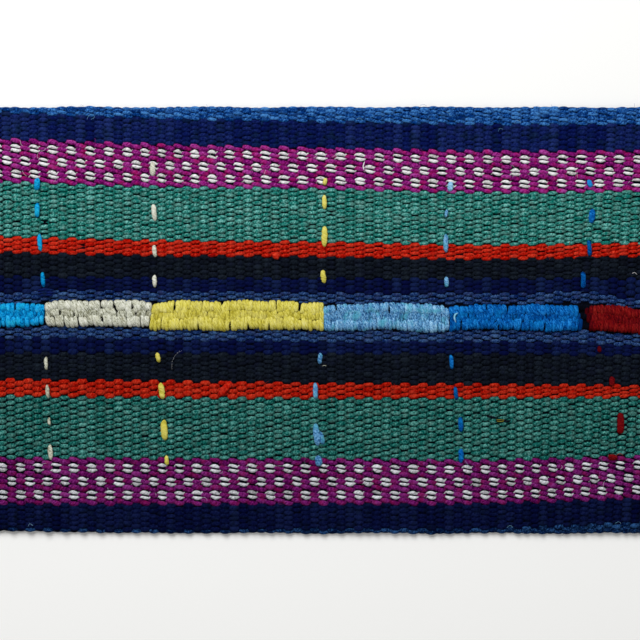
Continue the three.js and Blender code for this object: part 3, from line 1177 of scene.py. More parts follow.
@dataclass
class WarpStripes(YarnWork):
    """The warps of the ground, which run along the stripes over and under the wefts in turn.

    Attributes:
        steps: Rings of a warp's tube to one weft.
        half_height: Half of a warp's thickness.
        crossing_thickness: What it gains where it passes from one face to the other.
        arch: How pointed a float is, as a power.
        taper: How fast a float narrows from its crest, as a power.
        least_swing: The least that a warp swings from the middle of the cloth's thickness.
        white_fullness: A white float's half width, as a share of the warp pitch.
        white_crossing: A white warp's half width where it passes from one face to the other.
        white_bow: How far the middle of a white float bows away from the other one of its pair.
        longest_overrun: How far past the cut side a warp may be planned and still be pushed back in.
        spare_picks: How many wefts past each end a warp is planned over, before it is cut.
        shortest_run: The fewest rings of a warp that is kept.
        float_shift: How far one float lies beside the next.
        float_swing: How much one float's lean differs from the next.
        dash_press: How deep the warps lie beside a dash of weft.
        dash_reach: How far from the dash's middle line they do.
        dash_press_range: Where along a dash that ends, before and beyond its end.
    """

    wefts: WeftSetting
    fuzz: Fuzz
    steps: int = 5
    half_height: float = 0.42
    crossing_thickness: float = 0.05
    arch: float = 0.85
    taper: float = 0.7
    fullness_spread: float = 0.08
    rise_spread: float = 0.04
    least_swing: float = 0.1
    tone_spread: float = 0.05
    white_fullness: float = 0.76
    white_crossing: float = 0.3
    white_arch: float = 1.35
    white_arch_spread: float = 0.35
    white_bow: float = 0.24
    white_bow_spread: float = 0.4
    cut_side_room: float = 0.3
    longest_overrun: float = 0.7
    end_room: float = 0.15
    spare_picks: int = 4
    shortest_run: int = 12
    wander: float = 0.06
    wander_waves: tuple[float, float] = (37.0, 14.0)
    float_shift: float = 0.05
    float_swing: float = 0.14
    dash_press: float = 0.55
    dash_reach: float = 1.5
    dash_press_range: tuple[float, float] = (0.5, 0.6)
    sunken_depth: float = 0.7
    sunken_reach: float = 3.0
    sunken_half_width: float = 0.5
    fibres_per_warp: int = 4

    def warp_line(self, stripe: Stripe, number: int, x: Array) -> Array:
        """The Y of one warp of a stripe, without its own wander."""
        top = stripe.top.at(self.form, x)
        bottom = stripe.bottom.at(self.form, x)
        return top + (bottom - top) * (number + 0.5) / stripe.warps

    def pressed(self, x: Array, y: Array) -> Array:
        """How far the warps lie deeper beside the dashes of weft and at the sunken floats.

        Args:
            x: Places along the cloth.
            y: Places across it.

        Returns:
            The depth at each place.
        """
        depth = np.zeros_like(x)
        before, beyond = self.dash_press_range
        for dash in DASHES:
            middle_x, middle_y = dash.middle
            near = hump(x - middle_x, self.dash_reach)
            away = np.abs(y - middle_y)
            beside = 1.0 - eased(away, dash.half_length - before, dash.half_length + beyond)
            depth = np.maximum(depth, self.dash_press * near * beside)
        for sunken in SUNKEN_FLOATS:
            near = hump(x - photo_x(sunken.column), self.sunken_reach)
            beside = np.abs(y - photo_y(sunken.row)) < self.sunken_half_width
            depth = np.maximum(depth, self.sunken_depth * near * beside)
        return depth

    def warp(self, stripe: Stripe, number: int, parity: int, ribs: Array) -> Yarn | None:
        """Makes one warp.

        Args:
            stripe: The stripe that it is in.
            number: Its place in the stripe, from the top.
            parity: 0 if the even wefts are under it, 1 if the odd ones are.
            ribs: How far each weft's row of floats is lighter than the plain tone.

        Returns:
            The yarn, or None where it lies wholly outside the cut cloth.
        """
        # Its line through the cloth, ring by ring, past both ends.
        first = -self.spare_picks * self.steps
        last = (self.wefts.count + self.spare_picks) * self.steps
        pick = np.arange(first, last + 1) / self.steps
        x = self.wefts.place(pick, self.warp_line(stripe, number, self.wefts.even_place(pick)))
        y = self.warp_line(stripe, number, x)
        phases = self.rng.uniform(0, 2 * np.pi, len(self.wander_waves))
        for wave, phase in zip(self.wander_waves, phases):
            y = y + self.wander * np.sin(2 * np.pi * x / wave + phase)

        # How its floats differ from each other, one for each weft.
        weft = np.rint(pick).astype(int)
        float_count = weft[-1] - weft[0] + 1
        here = weft - weft[0]
        shift, swing, fullness, rise, tone = self.rng.normal(size=(5, float_count))
        warp_tone = self.rng.normal() * self.tone_spread
        beyond = pick - weft
        left, right = stripe.leans
        lean = left + (right - left) * (x / self.form.length + 0.5) + self.float_swing * swing[here]
        y = y + self.float_shift * shift[here] + lean * beyond
        white = stripe.is_white(number)
        arch = self.white_arch * np.exp(self.white_arch_spread * rise[here]) if white else self.arch
        crest = np.cos(np.pi * beyond) ** arch
        if white:
            outward = 1.0 if SPOTTED_THREADING[:number].count("W") % 2 == 0 else -1.0
            bow = outward * self.white_bow * (1.0 + self.white_bow_spread * fullness[here])
            y = y + bow * (crest - 1.0)

        # What is left of it inside the cut cloth.
        limit = self.form.half_width_at(x) - self.cut_side_room
        inside = np.abs(x) < self.form.half_length_at(y) - self.end_room
        inside &= np.abs(y) < limit + self.longest_overrun
        y = np.clip(y, -limit, limit)
        run = self.longest_run(inside)
        if run.stop - run.start < self.shortest_run:
            return None

        # Its swing over and under the wefts, and its section.
        over = np.where((weft + parity) % 2 == 0, 1.0, -1.0)
        widest = self.white_fullness if white else stripe.fullness
        narrowest = self.white_crossing if white else stripe.crossing
        share = narrowest + (widest - narrowest) * crest**self.taper
        half_width = stripe.pitch(self.form, x) * share * (1.0 + self.fullness_spread * fullness[here])
        half_height = self.half_height + self.crossing_thickness * (1.0 - crest)
        height = self.form.top(x, y) + self.rise_spread * rise[here] * crest - self.pressed(x, y)
        z = height / 2 + np.maximum(height / 2 - half_height, self.least_swing) * over * crest
        path = np.stack([x, y, z], axis=1)
        tones = 0.5 + warp_tone + stripe.unevenness * tone[here] + stripe.rib_unevenness * ribs[here]
        # Painted shade: where the warp dives under the wefts its lift falls, so the finish paints it darker
        # there.
        lift = np.clip(0.5 + 0.5 * over * crest, 0.0, 1.0)
        rings = [values[run] for values in (path, half_width, half_height, tones, lift)]
        path, half_width, half_height, tones, lift = rings
        return Yarn(path, half_width, half_height, ACROSS, tones, lift, self.rng.uniform(0, START_RANGE))

    def loose_fibres(self, yarn: Yarn) -> list[Yarn]:
        """Makes a few fine fibres that stand up from a warp."""
        rings = self.rng.integers(0, len(yarn.path), self.fibres_per_warp)
        return [self.fuzz.fibre(x, y, self.ground_at(x, y)) for x, y, _ in yarn.path[rings]]

    @staticmethod
    def longest_run(inside: Array) -> slice:
        """The longest unbroken stretch of a warp that is inside the cloth.

        Args:
            inside: Whether each ring is inside.

        Returns:
            The rings of the stretch.
        """
        marks = np.flatnonzero(np.diff(np.concatenate([[0], inside.astype(int), [0]])))
        starts, stops = marks[::2], marks[1::2]
        if len(starts) == 0:
            return slice(0, 0)
        longest = int(np.argmax(stops - starts))
        return slice(int(starts[longest]), int(stops[longest]))

    def build(self) -> list[bpy.types.Object]:
        """Builds every stripe as a piece of its own, and the white warps of a spotted stripe as another.

        Returns:
            The pieces.
        """
        pieces: list[bpy.types.Object] = []
        for stripes, before in ((UPPER_STRIPES, 0), (LOWER_STRIPES, 1)):
            for stripe in stripes:
                coloured: list[Yarn] = []
                white: list[Yarn] = []
                ribs = self.rng.normal(size=self.wefts.count + 2 * self.spare_picks + 1)
                for number in range(stripe.warps):
                    yarn = self.warp(stripe, number, (before + number) % 2, ribs)
                    if yarn is None:
                        continue
                    yarns = white if stripe.is_white(number) else coloured
                    yarns.extend([yarn, *self.loose_fibres(yarn)])
                before += stripe.warps
                pieces.append(self.piece(stripe.name, coloured, stripe.wool))
                if stripe.white is not None:
                    name = stripe.name.replace("magenta", "white")
                    pieces.append(self.piece(name, white, stripe.white))
        return pieces


@dataclass(frozen=True)
class Slit:
    """A dark slit where two strands of a block part, by its place in the photograph.

    Attributes:
        x: Its column.
        first: The row where it starts.
        last: The row where it ends.
        opening: How far it pushes the strands to each side, in millimetres.
    """

    x: float
    first: float
    last: float
    opening: float = 0.3


@dataclass(frozen=True)
class Rows:
    """The three rows of strands that show on a block, from its bottom edge to its top edge.

    Attributes:
        shares: How much of the block's width each row takes.
        spacings: From one strand of a row to the next.
        leans: How far a strand's upper end lies to the right of its lower end.
        overlap: A strand's width as a share of its spacing.
        jitter: How unevenly the strands end inside the block.
        dip: How deep they dive there.
    """

    shares: tuple[float, float, float] = (0.37, 0.26, 0.37)
    spacings: tuple[float, float, float] = (1.3, 1.3, 1.3)
    leans: tuple[float, float, float] = (0.0, 0.0, 0.0)
    overlap: float = 1.22
    jitter: float = 0.3
    dip: float = 0.65


@dataclass(frozen=True)
class Block:
    """One block of thick weft wrapped over three bundles of warp.

    Attributes:
        name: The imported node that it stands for, without its prefix.
        wool: Its wool.
        start: The X of its left end.
        end: The X of its right end.
        tops: The Y of its top edge at even stations from the left end to the right end.
        bottoms: The Y of its bottom edge at such stations.
        crown: How high it stands over the ground.
        rows: The rows of strands that show.
        left_tails: How far the strands of each row run on beyond its left end, sunk between the bundles.
        right_tails: The same beyond its right end.
        slants: How far the top of its left and its right end lies to the right of the bottom.
        whole_end: Whether its last strand on the right crosses all three rows at once.
        slits: Where its strands part.
    """

    name: str
    wool: Wool
    start: float
    end: float
    tops: tuple[float, ...]
    bottoms: tuple[float, ...]
    crown: float
    rows: Rows = Rows()
    left_tails: tuple[float, float, float] = (0.0, 0.0, 0.0)
    right_tails: tuple[float, float, float] = (0.0, 0.0, 0.0)
    slants: tuple[float, float] = (0.0, 0.0)
    whole_end: bool = False
    slits: tuple[Slit, ...] = ()


BLOCKS = (
    Block(
        "bright_blue",
        Wool.BRIGHT_BLUE,
        -109.7,
        -88.1,
        tops=(5.4, 5.5, 5.2),
        bottoms=(-2.2, -2.0, -1.2),
        crown=1.25,
        rows=Rows((0.36, 0.28, 0.36), (1.5, 1.2, 1.5)),
        slits=(Slit(15, 304, 312, 0.45),),
    ),
    Block(
        "cream",
        Wool.CREAM,
        -87.8,
        -54.2,
        tops=(5.4, 6.6, 6.4, 6.4, 6.5, 6.5, 6.4, 6.4, 5.8),
        bottoms=(-1.4, -2.0, -2.2, -1.8, -1.8, -1.8, -2.0, -2.1, -2.0),
        crown=1.4,
        rows=Rows((0.36, 0.26, 0.38), (1.5, 1.5, 2.0), (-0.45, 0.1, -0.1), 1.17, 0.3, 0.65),
        slants=(0.0, 1.4),
        slits=(
            Slit(101, 317, 323, 0.7),
            Slit(103, 298, 310, 0.35),
            Slit(116.8, 304, 312, 1.05),
            Slit(133.5, 303.5, 311, 1.2),
        ),
    ),
    Block(
        "yellow",
        Wool.YELLOW,
        -53.9,
        0.9,
        tops=(5.2, 6.0, 6.4, 6.2, 6.1, 6.2, 6.5, 6.3, 6.1, 6.1, 5.5, 5.9),
        bottoms=(-3.0, -3.0, -3.0, -2.9, -3.1, -3.2, -2.8, -2.8, -2.8, -2.8, -2.9, -3.1),
        crown=1.45,
        rows=Rows((0.38, 0.26, 0.36), (1.15, 1.2, 1.25), (0.0, 0.15, 0.1), 1.3, 0.3, 0.32),
        slants=(1.4, 0.0),
        whole_end=True,
        slits=(
            Slit(175.5, 305, 311, 0.45),
            Slit(224, 301, 310, 0.35),
            Slit(277, 301, 316, 0.55),
            Slit(299, 302, 312, 0.85),
            Slit(199.5, 324, 329, 0.45),
            Slit(228.7, 322, 329, 0.5),
            Slit(249.5, 324, 329, 0.45),
            Slit(269.5, 324, 330, 0.45),
        ),
    ),
    Block(
        "light_blue",
        Wool.LIGHT_BLUE,
        1.2,
        41.2,
        tops=(4.4, 5.2, 5.2, 5.5, 5.6, 5.3, 5.2, 4.0),
        bottoms=(-3.0, -3.3, -3.2, -2.8, -2.8, -3.4, -3.9, -3.2),
        crown=1.25,
        rows=Rows((0.36, 0.3, 0.34), (1.2, 1.1, 1.3), (-0.1, 0.2, -0.2), 1.3, 0.28, 0.38),
        slits=(Slit(390, 306, 314, 0.5),),
    ),
    Block(
        "azure",
        Wool.AZURE,
        41.5,
        81.9,
        tops=(4.5, 4.6, 5.1, 5.1, 4.7, 5.1, 5.1, 4.8, 4.8),
        bottoms=(-3.2, -2.9, -2.6, -2.8, -2.9, -3.2, -3.3, -3.3, -3.2),
        crown=1.3,
        rows=Rows((0.36, 0.26, 0.38), (1.2, 1.2, 1.5), (0.3, 0.0, -0.1), 1.28, 0.28, 0.42),
        right_tails=(2.1, 1.3, 0.8),
        whole_end=True,
        slits=(
            Slit(461, 321, 333, 0.6),
            Slit(486, 307, 311, 0.45),
            Slit(497, 321, 327.5, 0.5),
            Slit(508.5, 303, 312, 0.5),
            Slit(545, 323, 330, 0.5),
        ),
    ),
    Block(
        "dark_red",
        Wool.DARK_RED,
        87.9,
        109.7,
        tops=(4.8, 4.9, 4.2, 3.1, 2.3),
        bottoms=(-3.3, -3.4, -3.9, -4.6, -5.3),
        crown=1.3,
        rows=Rows((0.34, 0.32, 0.34), (1.1, 1.1, 1.1), (0.25, 0.15, 0.1), 1.32, 0.25, 0.35),
        left_tails=(1.6, 2.2, 2.7),
    ),
)


@dataclass
class WrappedBlocks(YarnWork):
    """The six blocks, strand by strand, in three rows over the three bundles.

    Attributes:
        interlock: How far the rows reach into each other.
        edge_drop: How deep a strand dives at the block's edge.
        edge_turn: How far round it turns there, in degrees past the level.
        dip_turn: How far round it turns between two rows.
        reach_power: How quickly it runs out from its crest, as a power.
        row_wander: How far the lines between the rows wander.
        wander_waves: The lengths that set the slow and the quick wave of that.
        quick_wander: The height of the quick wave, as a share of the slow one's.
        slant_run: How far the slant of a block's end reaches into it.
        whole_width: How much wider the last strand is where it crosses all three rows.
        tip_width: A strand's width where it dives, as a share of its whole width.
        crest_width: What its crest adds to that.
        least_tail: The length of tail that a block without one is treated as having.
        tail_drop: How deep a tail sinks between the bundles.
        tail_fade: How much darker it is painted, as painted shade where it sinks between the bundles.
        tail_shade: How fast the painted shade of the gaps takes it over.
        slit_range: Where along a slit its push fades, before and beyond its end.
        slit_fade: How fast the push fades to the sides.
    """

    fuzz: Fuzz
    seat: float = 0.3
    half_height: float = 0.45
    points: int = 10
    inset: float = 0.42
    lower_inset: float = 0.08
    interlock: float = 0.14
    edge_drop: float = 1.35
    edge_turn: float = -50.0
    dip_turn: float = -8.0
    reach_power: float = 0.85
    middle_sink: float = 0.2
    crest_spread: float = 0.08
    edge_jitter: float = 0.14
    row_wander: float = 0.26
    wander_waves: tuple[float, float] = (2.3, 0.9)
    quick_wander: float = 0.6
    spacing_spread: float = 0.09
    lean_spread: float = 0.16
    slant_run: float = 4.0
    whole_width: float = 1.3
    unevenness: float = 0.1
    tip_width: float = 0.7
    crest_width: float = 0.3
    tip_lift: float = 0.3
    crest_lift: float = 0.7
    tone_spread: float = 0.1
    middle_shade: float = 0.16
    end_round: float = 0.45
    end_run: float = 1.4
    least_tail: float = 0.1
    tail_drop: float = 0.8
    tail_fade: float = 1.0
    tail_shade: float = 1.5
    floor_room: float = 0.12
    slit_range: tuple[float, float] = (0.6, 0.8)
    slit_fade: float = 1.6
    twist_turn: float = 9.0
    fibres_per_mm: float = 3.5
    fibre_room: float = 1.0

    @staticmethod
    def edge_lines(block: Block, x: float) -> tuple[float, float]:
        """The Y of a block's bottom and top edge at a place along it."""
        bottoms = np.linspace(block.start, block.end, len(block.bottoms))
        tops = np.linspace(block.start, block.end, len(block.tops))
        bottom = curve_through(np.array(x), bottoms, block.bottoms)
        top = curve_through(np.array(x), tops, block.tops)
        return float(bottom), float(top)

    def parted(self, block: Block, x: Array, y: Array) -> Array:
        """How far a block's slits push its strands aside.

        Args:
            block: The block.
            x: Places on a strand.
            y: Places on a strand.

        Returns:
            The push along X at each place.
        """
        push = np.zeros_like(x)
        before, beyond = self.slit_range
        for slit in block.slits:
            away = x - photo_x(slit.x)
            middle = photo_y((slit.first + slit.last) / 2)
            half_length = (slit.last - slit.first) / 2 * MM_PER_PIXEL
            along = 1.0 - eased(np.abs(y - middle), half_length - before, half_length + beyond)
            fading = np.exp(-np.abs(away) / self.slit_fade)
            push += np.where(away < 0, -1.0, 1.0) * slit.opening * fading * along
        return push

    def sunk(self, block: Block, x: float) -> float:
        """How far a place lies beyond the block's end and into its tail, from 0 to 1."""
        beyond = max(block.start - x, x - block.end, 0.0)
        return min(beyond / max(*block.left_tails, *block.right_tails, self.least_tail), 1.0)

    def crest_height(self, block: Block, x: float, y: float) -> float:
        """The height of a strand's middle on a crest of the block."""
        from_end = np.array(min(x - block.start, block.end - x))
        rounded = self.end_round * (1.0 - float(eased(from_end, 0.0, self.end_run)))
        crown = block.crown - rounded - self.tail_drop * self.sunk(block, x)
        return self.ground_at(x, y) + self.seat + crown - self.half_height

    def strand(self, block: Block, row: int | None, x: float) -> Yarn:
        """Makes one strand, which arches over one bundle and dives on both sides of it.

        Args:
            block: The block.
            row: Its row, from 0 at the bottom to 2 at the top, or None where it crosses all three.
            x: Where it lies along the block.

        Returns:
            The strand.
        """
        # Where it starts and ends across the block.
        rows = block.rows
        bottom, top = self.edge_lines(block, x)
        width = top - bottom
        first = row in (0, None)
        last = row in (2, None)
        slow, quick = self.wander_waves
        quick_wave = self.quick_wander * math.sin(x / quick + (row or 0))
        wander = self.row_wander * (math.sin(x / slow) + quick_wave)
        near_jitter, far_jitter, turn_jitter, rise, fuller, lighter = self.rng.normal(size=6)
        near = bottom + self.lower_inset + self.edge_jitter * near_jitter
        far = top - self.inset + self.edge_jitter * far_jitter
        if not first:
            start = bottom + width * sum(rows.shares[:row])
            near = start + wander + rows.jitter * near_jitter - self.interlock
        if not last:
            end = bottom + width * sum(rows.shares[: row + 1])
            far = end + wander + rows.jitter * far_jitter + self.interlock

        # Its arch over the bundle, from one dive to the other.
        near_turn = self.edge_turn if first else self.dip_turn
        far_turn = self.edge_turn if last else self.dip_turn
        turn = np.radians(np.linspace(180.0 - near_turn, far_turn, self.points))
        reach = np.sign(np.cos(turn)) * np.abs(np.cos(turn)) ** self.reach_power
        y = (near + far) / 2 + (far - near) / 2 * reach
        sink = self.middle_sink if row == 1 else 0.0
        crest = self.crest_height(block, x, (top + bottom) / 2) - sink + self.crest_spread * rise
        near_drop = self.edge_drop if first else rows.dip
        far_drop = self.edge_drop if last else rows.dip
        drop = np.where(reach < 0, near_drop, far_drop)
        z = np.maximum(crest - drop * (1.0 - np.sin(turn)), self.half_height + self.floor_room)

        # Its lean, the slant of the block's ends and the slits.
        style = 1 if row is None else row
        lean = rows.leans[style] + self.lean_spread * turn_jitter
        slant = block.slants[0] * math.exp(-abs(x - block.start) / self.slant_run)
        slant += block.slants[1] * math.exp(-abs(x - block.end) / self.slant_run)
        along = x + lean * reach / 2 + slant * ((y - bottom) / width - 0.5)
        along = along + self.parted(block, along, y)

        # Its width, and how light and how open it is. Painted shade: the middle row and the sunk tails are
        # painted darker, and the diving ends and the tails get less lift, so the finish paints its gap shade
        # on them too.
        full = np.sqrt(np.clip(np.sin(turn), 0.0, 1.0))
        whole = self.whole_width if row is None else 1.0
        half_width = whole * rows.spacings[style] / 2 * rows.overlap * (1.0 + self.unevenness * fuller)
        half_width = half_width * (self.tip_width + self.crest_width * full)
        sunk = self.sunk(block, x)
        shade = self.middle_shade if row == 1 else 0.0
        tone = 0.5 + self.tone_spread * lighter - shade - self.tail_fade * sunk
        lift = (self.tip_lift + self.crest_lift * full) * max(1.0 - self.tail_shade * sunk, 0.0)
        return Yarn(
            np.stack([along, y, z], axis=1),
            half_width,
            np.full(len(y), self.half_height),
            BACKWARDS,
            np.full(len(y), tone),
            lift,
            self.rng.uniform(0, START_RANGE),
            sides=8,
            twist_turn=self.twist_turn,
        )

    def strands(self, block: Block) -> list[Yarn]:
        """Makes all strands of a block, and the loose fibres on them.

        Args:
            block: The block.

        Returns:
            Its yarns.
        """
        yarns: list[Yarn] = []
        for row, spacing in enumerate(block.rows.spacings):
            start = block.start - block.left_tails[row]
            length = block.end + block.right_tails[row] - start
            count = round(length / spacing)
            for number in range(count):
                share = (number + 0.5 + self.spacing_spread * self.rng.normal()) / count
                yarns.append(self.strand(block, row, start + length * share))
        if block.whole_end:
            yarns.append(self.strand(block, None, block.end - block.rows.spacings[1] / 2))
        for _ in range(round((block.end - block.start) * self.fibres_per_mm)):
            x = self.rng.uniform(block.start, block.end)
            bottom, top = self.edge_lines(block, x)
            y = self.rng.uniform(bottom + self.fibre_room, top - self.fibre_room)
            yarns.append(self.fuzz.fibre(x, y, self.crest_height(block, x, y) + self.half_height))
        return yarns

    def build(self) -> list[bpy.types.Object]:
        """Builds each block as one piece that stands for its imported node.

        Returns:
            The pieces.
        """
        pieces: list[bpy.types.Object] = []
        for block in BLOCKS:
            piece = self.piece(f"{block.name}_block_strands", self.strands(block), block.wool)
            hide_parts(f"block_{block.name}")
            pieces.append(piece)
        return pieces


@dataclass
class Bundles(YarnWork):
    """The three bundles of dark warp that the blocks are wrapped over.

    Attributes:
        cord_room: How far the bundles stay from the slate cords' middle lines.
        wander_run: The length that sets the sideways wave.
        wander_phase: How the sideways waves of the bundles differ, in radians.
    """

    half_width: float = 1.25
    half_height: float = 0.85
    middle_height: float = 1.35
    step: float = 1.2
    end_room: float = 0.4
    cord_room: float = 1.6
    shares: tuple[float, float, float] = (0.2, 0.5, 0.8)
    wander: float = 0.1
    wave: float = 0.06
    wander_run: float = 5.0
    wave_run: float = 3.1
    wander_phase: float = 6.0
    wave_phase: float = 9.0
    tone: float = 0.5
    lift: float = 0.8

    def build(self) -> list[bpy.types.Object]:
        """Builds the bundles as one piece.

        Returns:
            The piece, in a list.
        """
        half = self.form.length / 2 - self.end_room
        x = np.linspace(-half, half, round(2 * half / self.step))
        even = np.ones_like(x)
        upper = self.form.cord_line(Side.UPPER, x) - self.cord_room
        lower = self.form.cord_line(Side.LOWER, x) + self.cord_room
        yarns: list[Yarn] = []
        for share in self.shares:
            sideways = self.wander * np.sin(x / self.wander_run + self.wander_phase * share)
            y = lower + (upper - lower) * share + sideways
            z = self.middle_height + self.wave * np.sin(x / self.wave_run + self.wave_phase * share)
            path = np.stack([x, y, z], axis=1)
            wide, high = self.half_width * even, self.half_height * even
            start = self.rng.uniform(0, START_RANGE)
            yarns.append(Yarn(path, wide, high, ACROSS, self.tone * even, self.lift * even, start, sides=10))
        # The bundles wear the near-black ground wool, which shows as painted shade in the pits between the
        # blocks.
        return [self.piece("dark_warp_bundles", yarns, Wool.GROUND)]


@dataclass
class WeftDashes(YarnWork):
    """The short floats of coloured weft that cross the stripes at the ends of the blocks.

    Attributes:
        dip_power: How late a dash dives, as a power.
        tip: How full a dash is at its tips.
        overrun: How far a dash runs on past the place where it is seen to end.
        sway: How unevenly a dash runs.
    """

    half_height: float = 0.5
    rise: float = 0.05
    dip: float = 0.75
    dip_power: float = 4.0
    tip: float = 0.06
    rings: int = 13
    overrun: float = 0.25
    lean_spread: float = 0.04
    sway: float = 0.05
    width_spread: float = 0.05
    tone_spread: float = 0.06

    def yarn(self, dash: Dash) -> Yarn:
        """Makes one dash, fullest in its middle and pointed where it dives between the warps.

        Args:
            dash: Where it lies and what it is made of.

        Returns:
            The yarn.
        """
        middle_x, middle_y = dash.middle
        half_length = dash.half_length + self.overrun
        share = np.linspace(-1.0, 1.0, self.rings)
        y = middle_y + half_length * share
        lean = self.lean_spread * self.rng.normal() - dash.lean / 2 * MM_PER_PIXEL
        x = middle_x + lean * share + self.sway * self.rng.normal(size=self.rings)
        z = self.form.top(x, y) + self.rise - self.dip * np.abs(share) ** self.dip_power
        swell = tapered(share, dash.bluntness, self.tip)
        uneven = 1.0 + self.width_spread * self.rng.normal(size=self.rings)
        tone = dash.tone + self.tone_spread * self.rng.normal(size=self.rings)
        return Yarn(
            np.stack([x, y, z], axis=1),
            dash.width / 2 * MM_PER_PIXEL * swell * uneven,
            self.half_height * swell,
            Vector((-half_length, lean, 0.0)).normalized(),
            tone,
            np.ones(self.rings),
            self.rng.uniform(0, START_RANGE),
            sides=10,
        )

    def build(self) -> list[bpy.types.Object]:
        """Builds the dashes of each wool as one piece."""
        return self.pieces_by_wool("weft_dashes", DASHES, self.yarn)


@dataclass
class LooseThreads(YarnWork):
    """The long loose hairs on the cloth, and the threads that have slipped over others.

    Attributes:
        block_clear: How much higher a thread lies on a block.
    """

    fuzz: Fuzz
    rings: int = 17
    block_clear: float = 1.5
    cord_room: float = 1.8

    def yarn(self, thread: LooseThread) -> Yarn:
        """Makes one thread, which lies on the ground or on a block.

        Args:
            thread: Where it lies and how thick it is.

        Returns:
            The yarn.
        """
        stations = np.linspace(0.0, 1.0, len(thread.places))
        share = np.linspace(0.0, 1.0, self.rings)
        x = curve_through(share, stations, [photo_x(column) for column, _ in thread.places])
        y = curve_through(share, stations, [photo_y(row) for _, row in thread.places])
        on_block = y < self.form.cord_line(Side.UPPER, x) - self.cord_room
        on_block &= y > self.form.cord_line(Side.LOWER, x) + self.cord_room
        lift = thread.clear + self.block_clear * on_block + thread.rise * np.sin(np.pi * share)
        z = self.form.top(x, y) + lift
        return self.fuzz.thread(np.stack([x, y, z], axis=1), thread.half_width, thread.tone)

    def build(self) -> list[bpy.types.Object]:
        """Builds the threads of each wool as one piece."""
        return self.pieces_by_wool("loose_threads", LOOSE_THREADS, self.yarn)


@dataclass
class GroundWefts:
    """The dark wefts inside the cloth, side by side in one sheet, whose cut ends show at the long sides.

    Attributes:
        steps: Rows of faces to one weft.
        columns: Faces across the cloth.
        thin: Half thickness between two wefts.
        thick: What a weft adds to it.
        stub: How far the longest cut ends of the wefts stand out.
        stub_power: How near the cut sides the ends start, as a power.
        end_power: How near the cut ends the last wefts are drawn to them, as a power.
    """

    form: ClothForm
    wefts: WeftSetting
    dyer: Dyer
    rng: np.random.Generator
    steps: int = 4
    columns: int = 36
    blank_thickness: float = 0.1
    thin: float = 0.08
    thick: float = 0.42
    stub: float = 0.7
    least_stub: float = 0.3
    stub_power: int = 20
    end_power: int = 24
    tone: float = 0.5
    lift: float = 1.0

    def build(self, pieces: Sequence[bpy.types.Object]) -> bpy.types.Object:
        """Args:
            pieces: The warps, blocks and dashes. It is not used.

        Returns:
            The sheet.
        """
        count = self.wefts.count
        bm = bmesh.new()
        bmesh.ops.create_grid(bm, x_segments=count * self.steps, y_segments=self.columns, size=0.5)
        bmesh.ops.solidify(bm, geom=bm.faces[:], thickness=-self.blank_thickness)
        bmesh.ops.recalc_face_normals(bm, faces=bm.faces[:])
        mesh = mesh_from("ground_wefts", bm)
        along, across, height = points_of(mesh).T
        face = np.where(height > height.mean(), 1.0, -1.0)
        pick = (along + 0.5) * count - 0.5
        weft = np.clip(np.rint(pick).astype(int), 0, count - 1)
        fullness = np.abs(np.cos(np.pi * pick))
        even_x = self.wefts.even_place(pick)
        stubs = self.rng.uniform(self.least_stub, 1.0, count)[weft]
        stub = self.stub * (fullness * stubs - 1.0) * np.abs(across * 2.0) ** self.stub_power
        y = across * 2.0 * (self.form.half_width_at(even_x) + stub)
        shifted = self.wefts.place(pick, across * self.form.width)
        end = np.abs(even_x) / even_x.max()
        to_end = np.sign(even_x) * self.form.half_length_at(y) - shifted
        x = shifted + to_end * end**self.end_power
        z = self.form.top(x, y) / 2 + face * (self.thin + self.thick * fullness)
        mesh.vertices.foreach_set("co", (np.stack([x, y, z], axis=1) * METRES_PER_MM).ravel())
        write_attribute(mesh, "tone", "POINT", np.full(len(x), self.tone))
        write_attribute(mesh, "lift", "POINT", np.full(len(x), self.lift))
        write_attribute(mesh, "fibre", "POINT", np.stack([y, x, z], axis=1) * METRES_PER_MM)
        mesh.shade_smooth()
        mesh.update()
        piece = add_object("ground_wefts", mesh)
        self.dyer.dress(piece, Wool.GROUND)
        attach(piece, BODY)
        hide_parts("cloth")
        return piece


@dataclass(frozen=True)
class Lamp:
    """One soft studio light.

    Attributes:
        name: Its name.
        place: Where it hangs, in metres.
        size: The side of its square panel, in metres.
        power: Its power in watts.
    """

    name: str
    place: tuple[float, float, float]
    size: float
    power: float


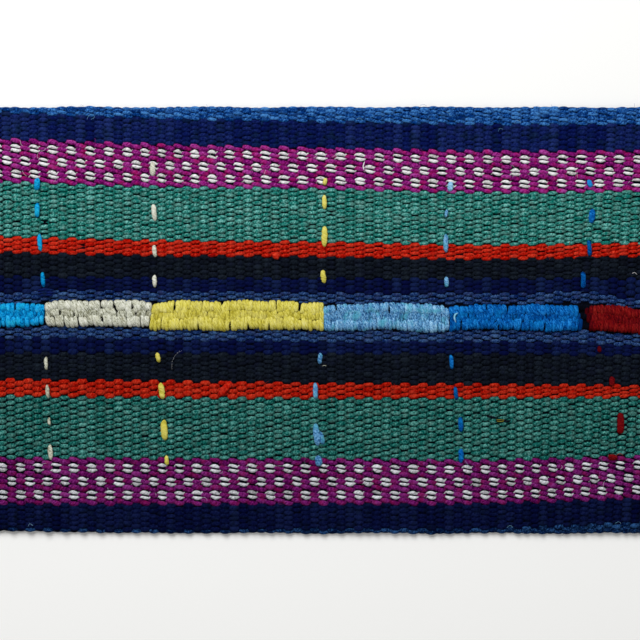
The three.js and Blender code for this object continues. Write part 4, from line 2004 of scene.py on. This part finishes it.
@dataclass
class Studio:
    """The pale floor, the soft light and the camera straight above the cloth."""

    cloth_top: float = 2.6
    lens: float = 85.0
    sensor: float = 36.0
    nearest: float = 0.01
    floor_side: float = 4.0
    floor_faces: int = 8
    floor_colour: str = "#f4f4f2"
    floor_roughness: float = 0.9
    sky: float = 0.28
    lamps: tuple[Lamp, ...] = (
        Lamp("key_panel", (-0.2, 0.6, 0.75), 0.6, 9.5),
        Lamp("fill_panel", (0.7, -0.5, 1.2), 1.2, 3.0),
    )

    def camera(self) -> None:
        """Places the camera so that the photograph's columns and rows fall on the same cloth."""
        data = bpy.data.cameras.new("camera")
        data.lens = self.lens
        data.sensor_width = self.sensor
        data.sensor_fit = "HORIZONTAL"
        data.clip_start = self.nearest
        camera = add_object("camera", data)
        span = PHOTO_PIXELS * MM_PER_PIXEL
        height = span * self.lens / self.sensor + self.cloth_top
        camera.location = (0, 0, height * METRES_PER_MM)
        bpy.context.scene.camera = camera

    def floor(self) -> None:
        """Lays the floor, which has no part in the object."""
        bm = bmesh.new()
        faces = self.floor_faces
        bmesh.ops.create_grid(bm, x_segments=faces, y_segments=faces, size=self.floor_side / 2)
        mesh = mesh_from("floor", bm)
        # Matt off-white paint: the eye gets an even pale ground with only a soft shadow on it.
        material = bpy.data.materials.new("pale_painted_floor")
        material.use_nodes = True
        surface = material.node_tree.nodes["Principled BSDF"]
        surface.inputs["Base Color"].default_value = linear(self.floor_colour)
        surface.inputs["Roughness"].default_value = self.floor_roughness
        mesh.materials.append(material)
        add_object("floor", mesh)

    def light(self) -> None:
        """Hangs the lamps and sets the even light of the room."""
        for lamp in self.lamps:
            data = bpy.data.lights.new(lamp.name, "AREA")
            data.size = lamp.size
            data.energy = lamp.power
            panel = add_object(lamp.name, data)
            panel.location = lamp.place
            panel.rotation_euler = (-Vector(lamp.place)).to_track_quat("-Z", "Y").to_euler()
        world = bpy.data.worlds.new("room")
        world.use_nodes = True
        background = world.node_tree.nodes["Background"]
        background.inputs["Color"].default_value = (1.0, 1.0, 1.0, 1.0)
        background.inputs["Strength"].default_value = self.sky
        bpy.context.scene.world = world
        bpy.context.scene.view_settings.view_transform = "Standard"

    def build(self) -> None:
        """Sets the whole studio up."""
        self.camera()
        self.floor()
        self.light()


@dataclass
class Rug:
    """The whole cut length of rug, which builds its parts in a fixed order."""

    form: ClothForm = field(default_factory=ClothForm)
    wefts: WeftSetting = field(default_factory=WeftSetting)
    spinner: YarnSpinner = field(default_factory=YarnSpinner)
    dyer: Dyer = field(default_factory=Dyer)
    rng: np.random.Generator = field(default_factory=lambda: np.random.default_rng(SEED))
    block_fibres: tuple[float, float] = (0.5, 1.3)

    def build(self) -> list[bpy.types.Object]:
        """Builds every piece of the rug.

        Returns:
            The pieces.
        """
        shared = (self.form, self.spinner, self.dyer, self.rng)
        fuzz = Fuzz(self.rng)
        shortest, longest = self.block_fibres
        block_fuzz = Fuzz(self.rng, shortest=shortest, longest=longest)
        pieces = WarpStripes(*shared, self.wefts, fuzz).build()
        pieces += Bundles(*shared).build()
        pieces += WrappedBlocks(*shared, block_fuzz).build()
        pieces += WeftDashes(*shared).build()
        pieces += LooseThreads(*shared, fuzz).build()
        pieces.append(GroundWefts(self.form, self.wefts, self.dyer, self.rng).build(pieces))
        return pieces


def main() -> None:
    """Builds the studio and the rug."""
    logging.basicConfig(level=logging.INFO, format="%(name)s: %(message)s")
    Studio().build()
    total = 0
    for piece in Rug().build():
        triangles = sum(len(face.vertices) - 2 for face in piece.data.polygons)
        total += triangles
        LOG.info("%s: %d triangles", piece.name, triangles)
    LOG.info("all pieces: %d triangles", total)


if __name__ == "__main__":
    main()
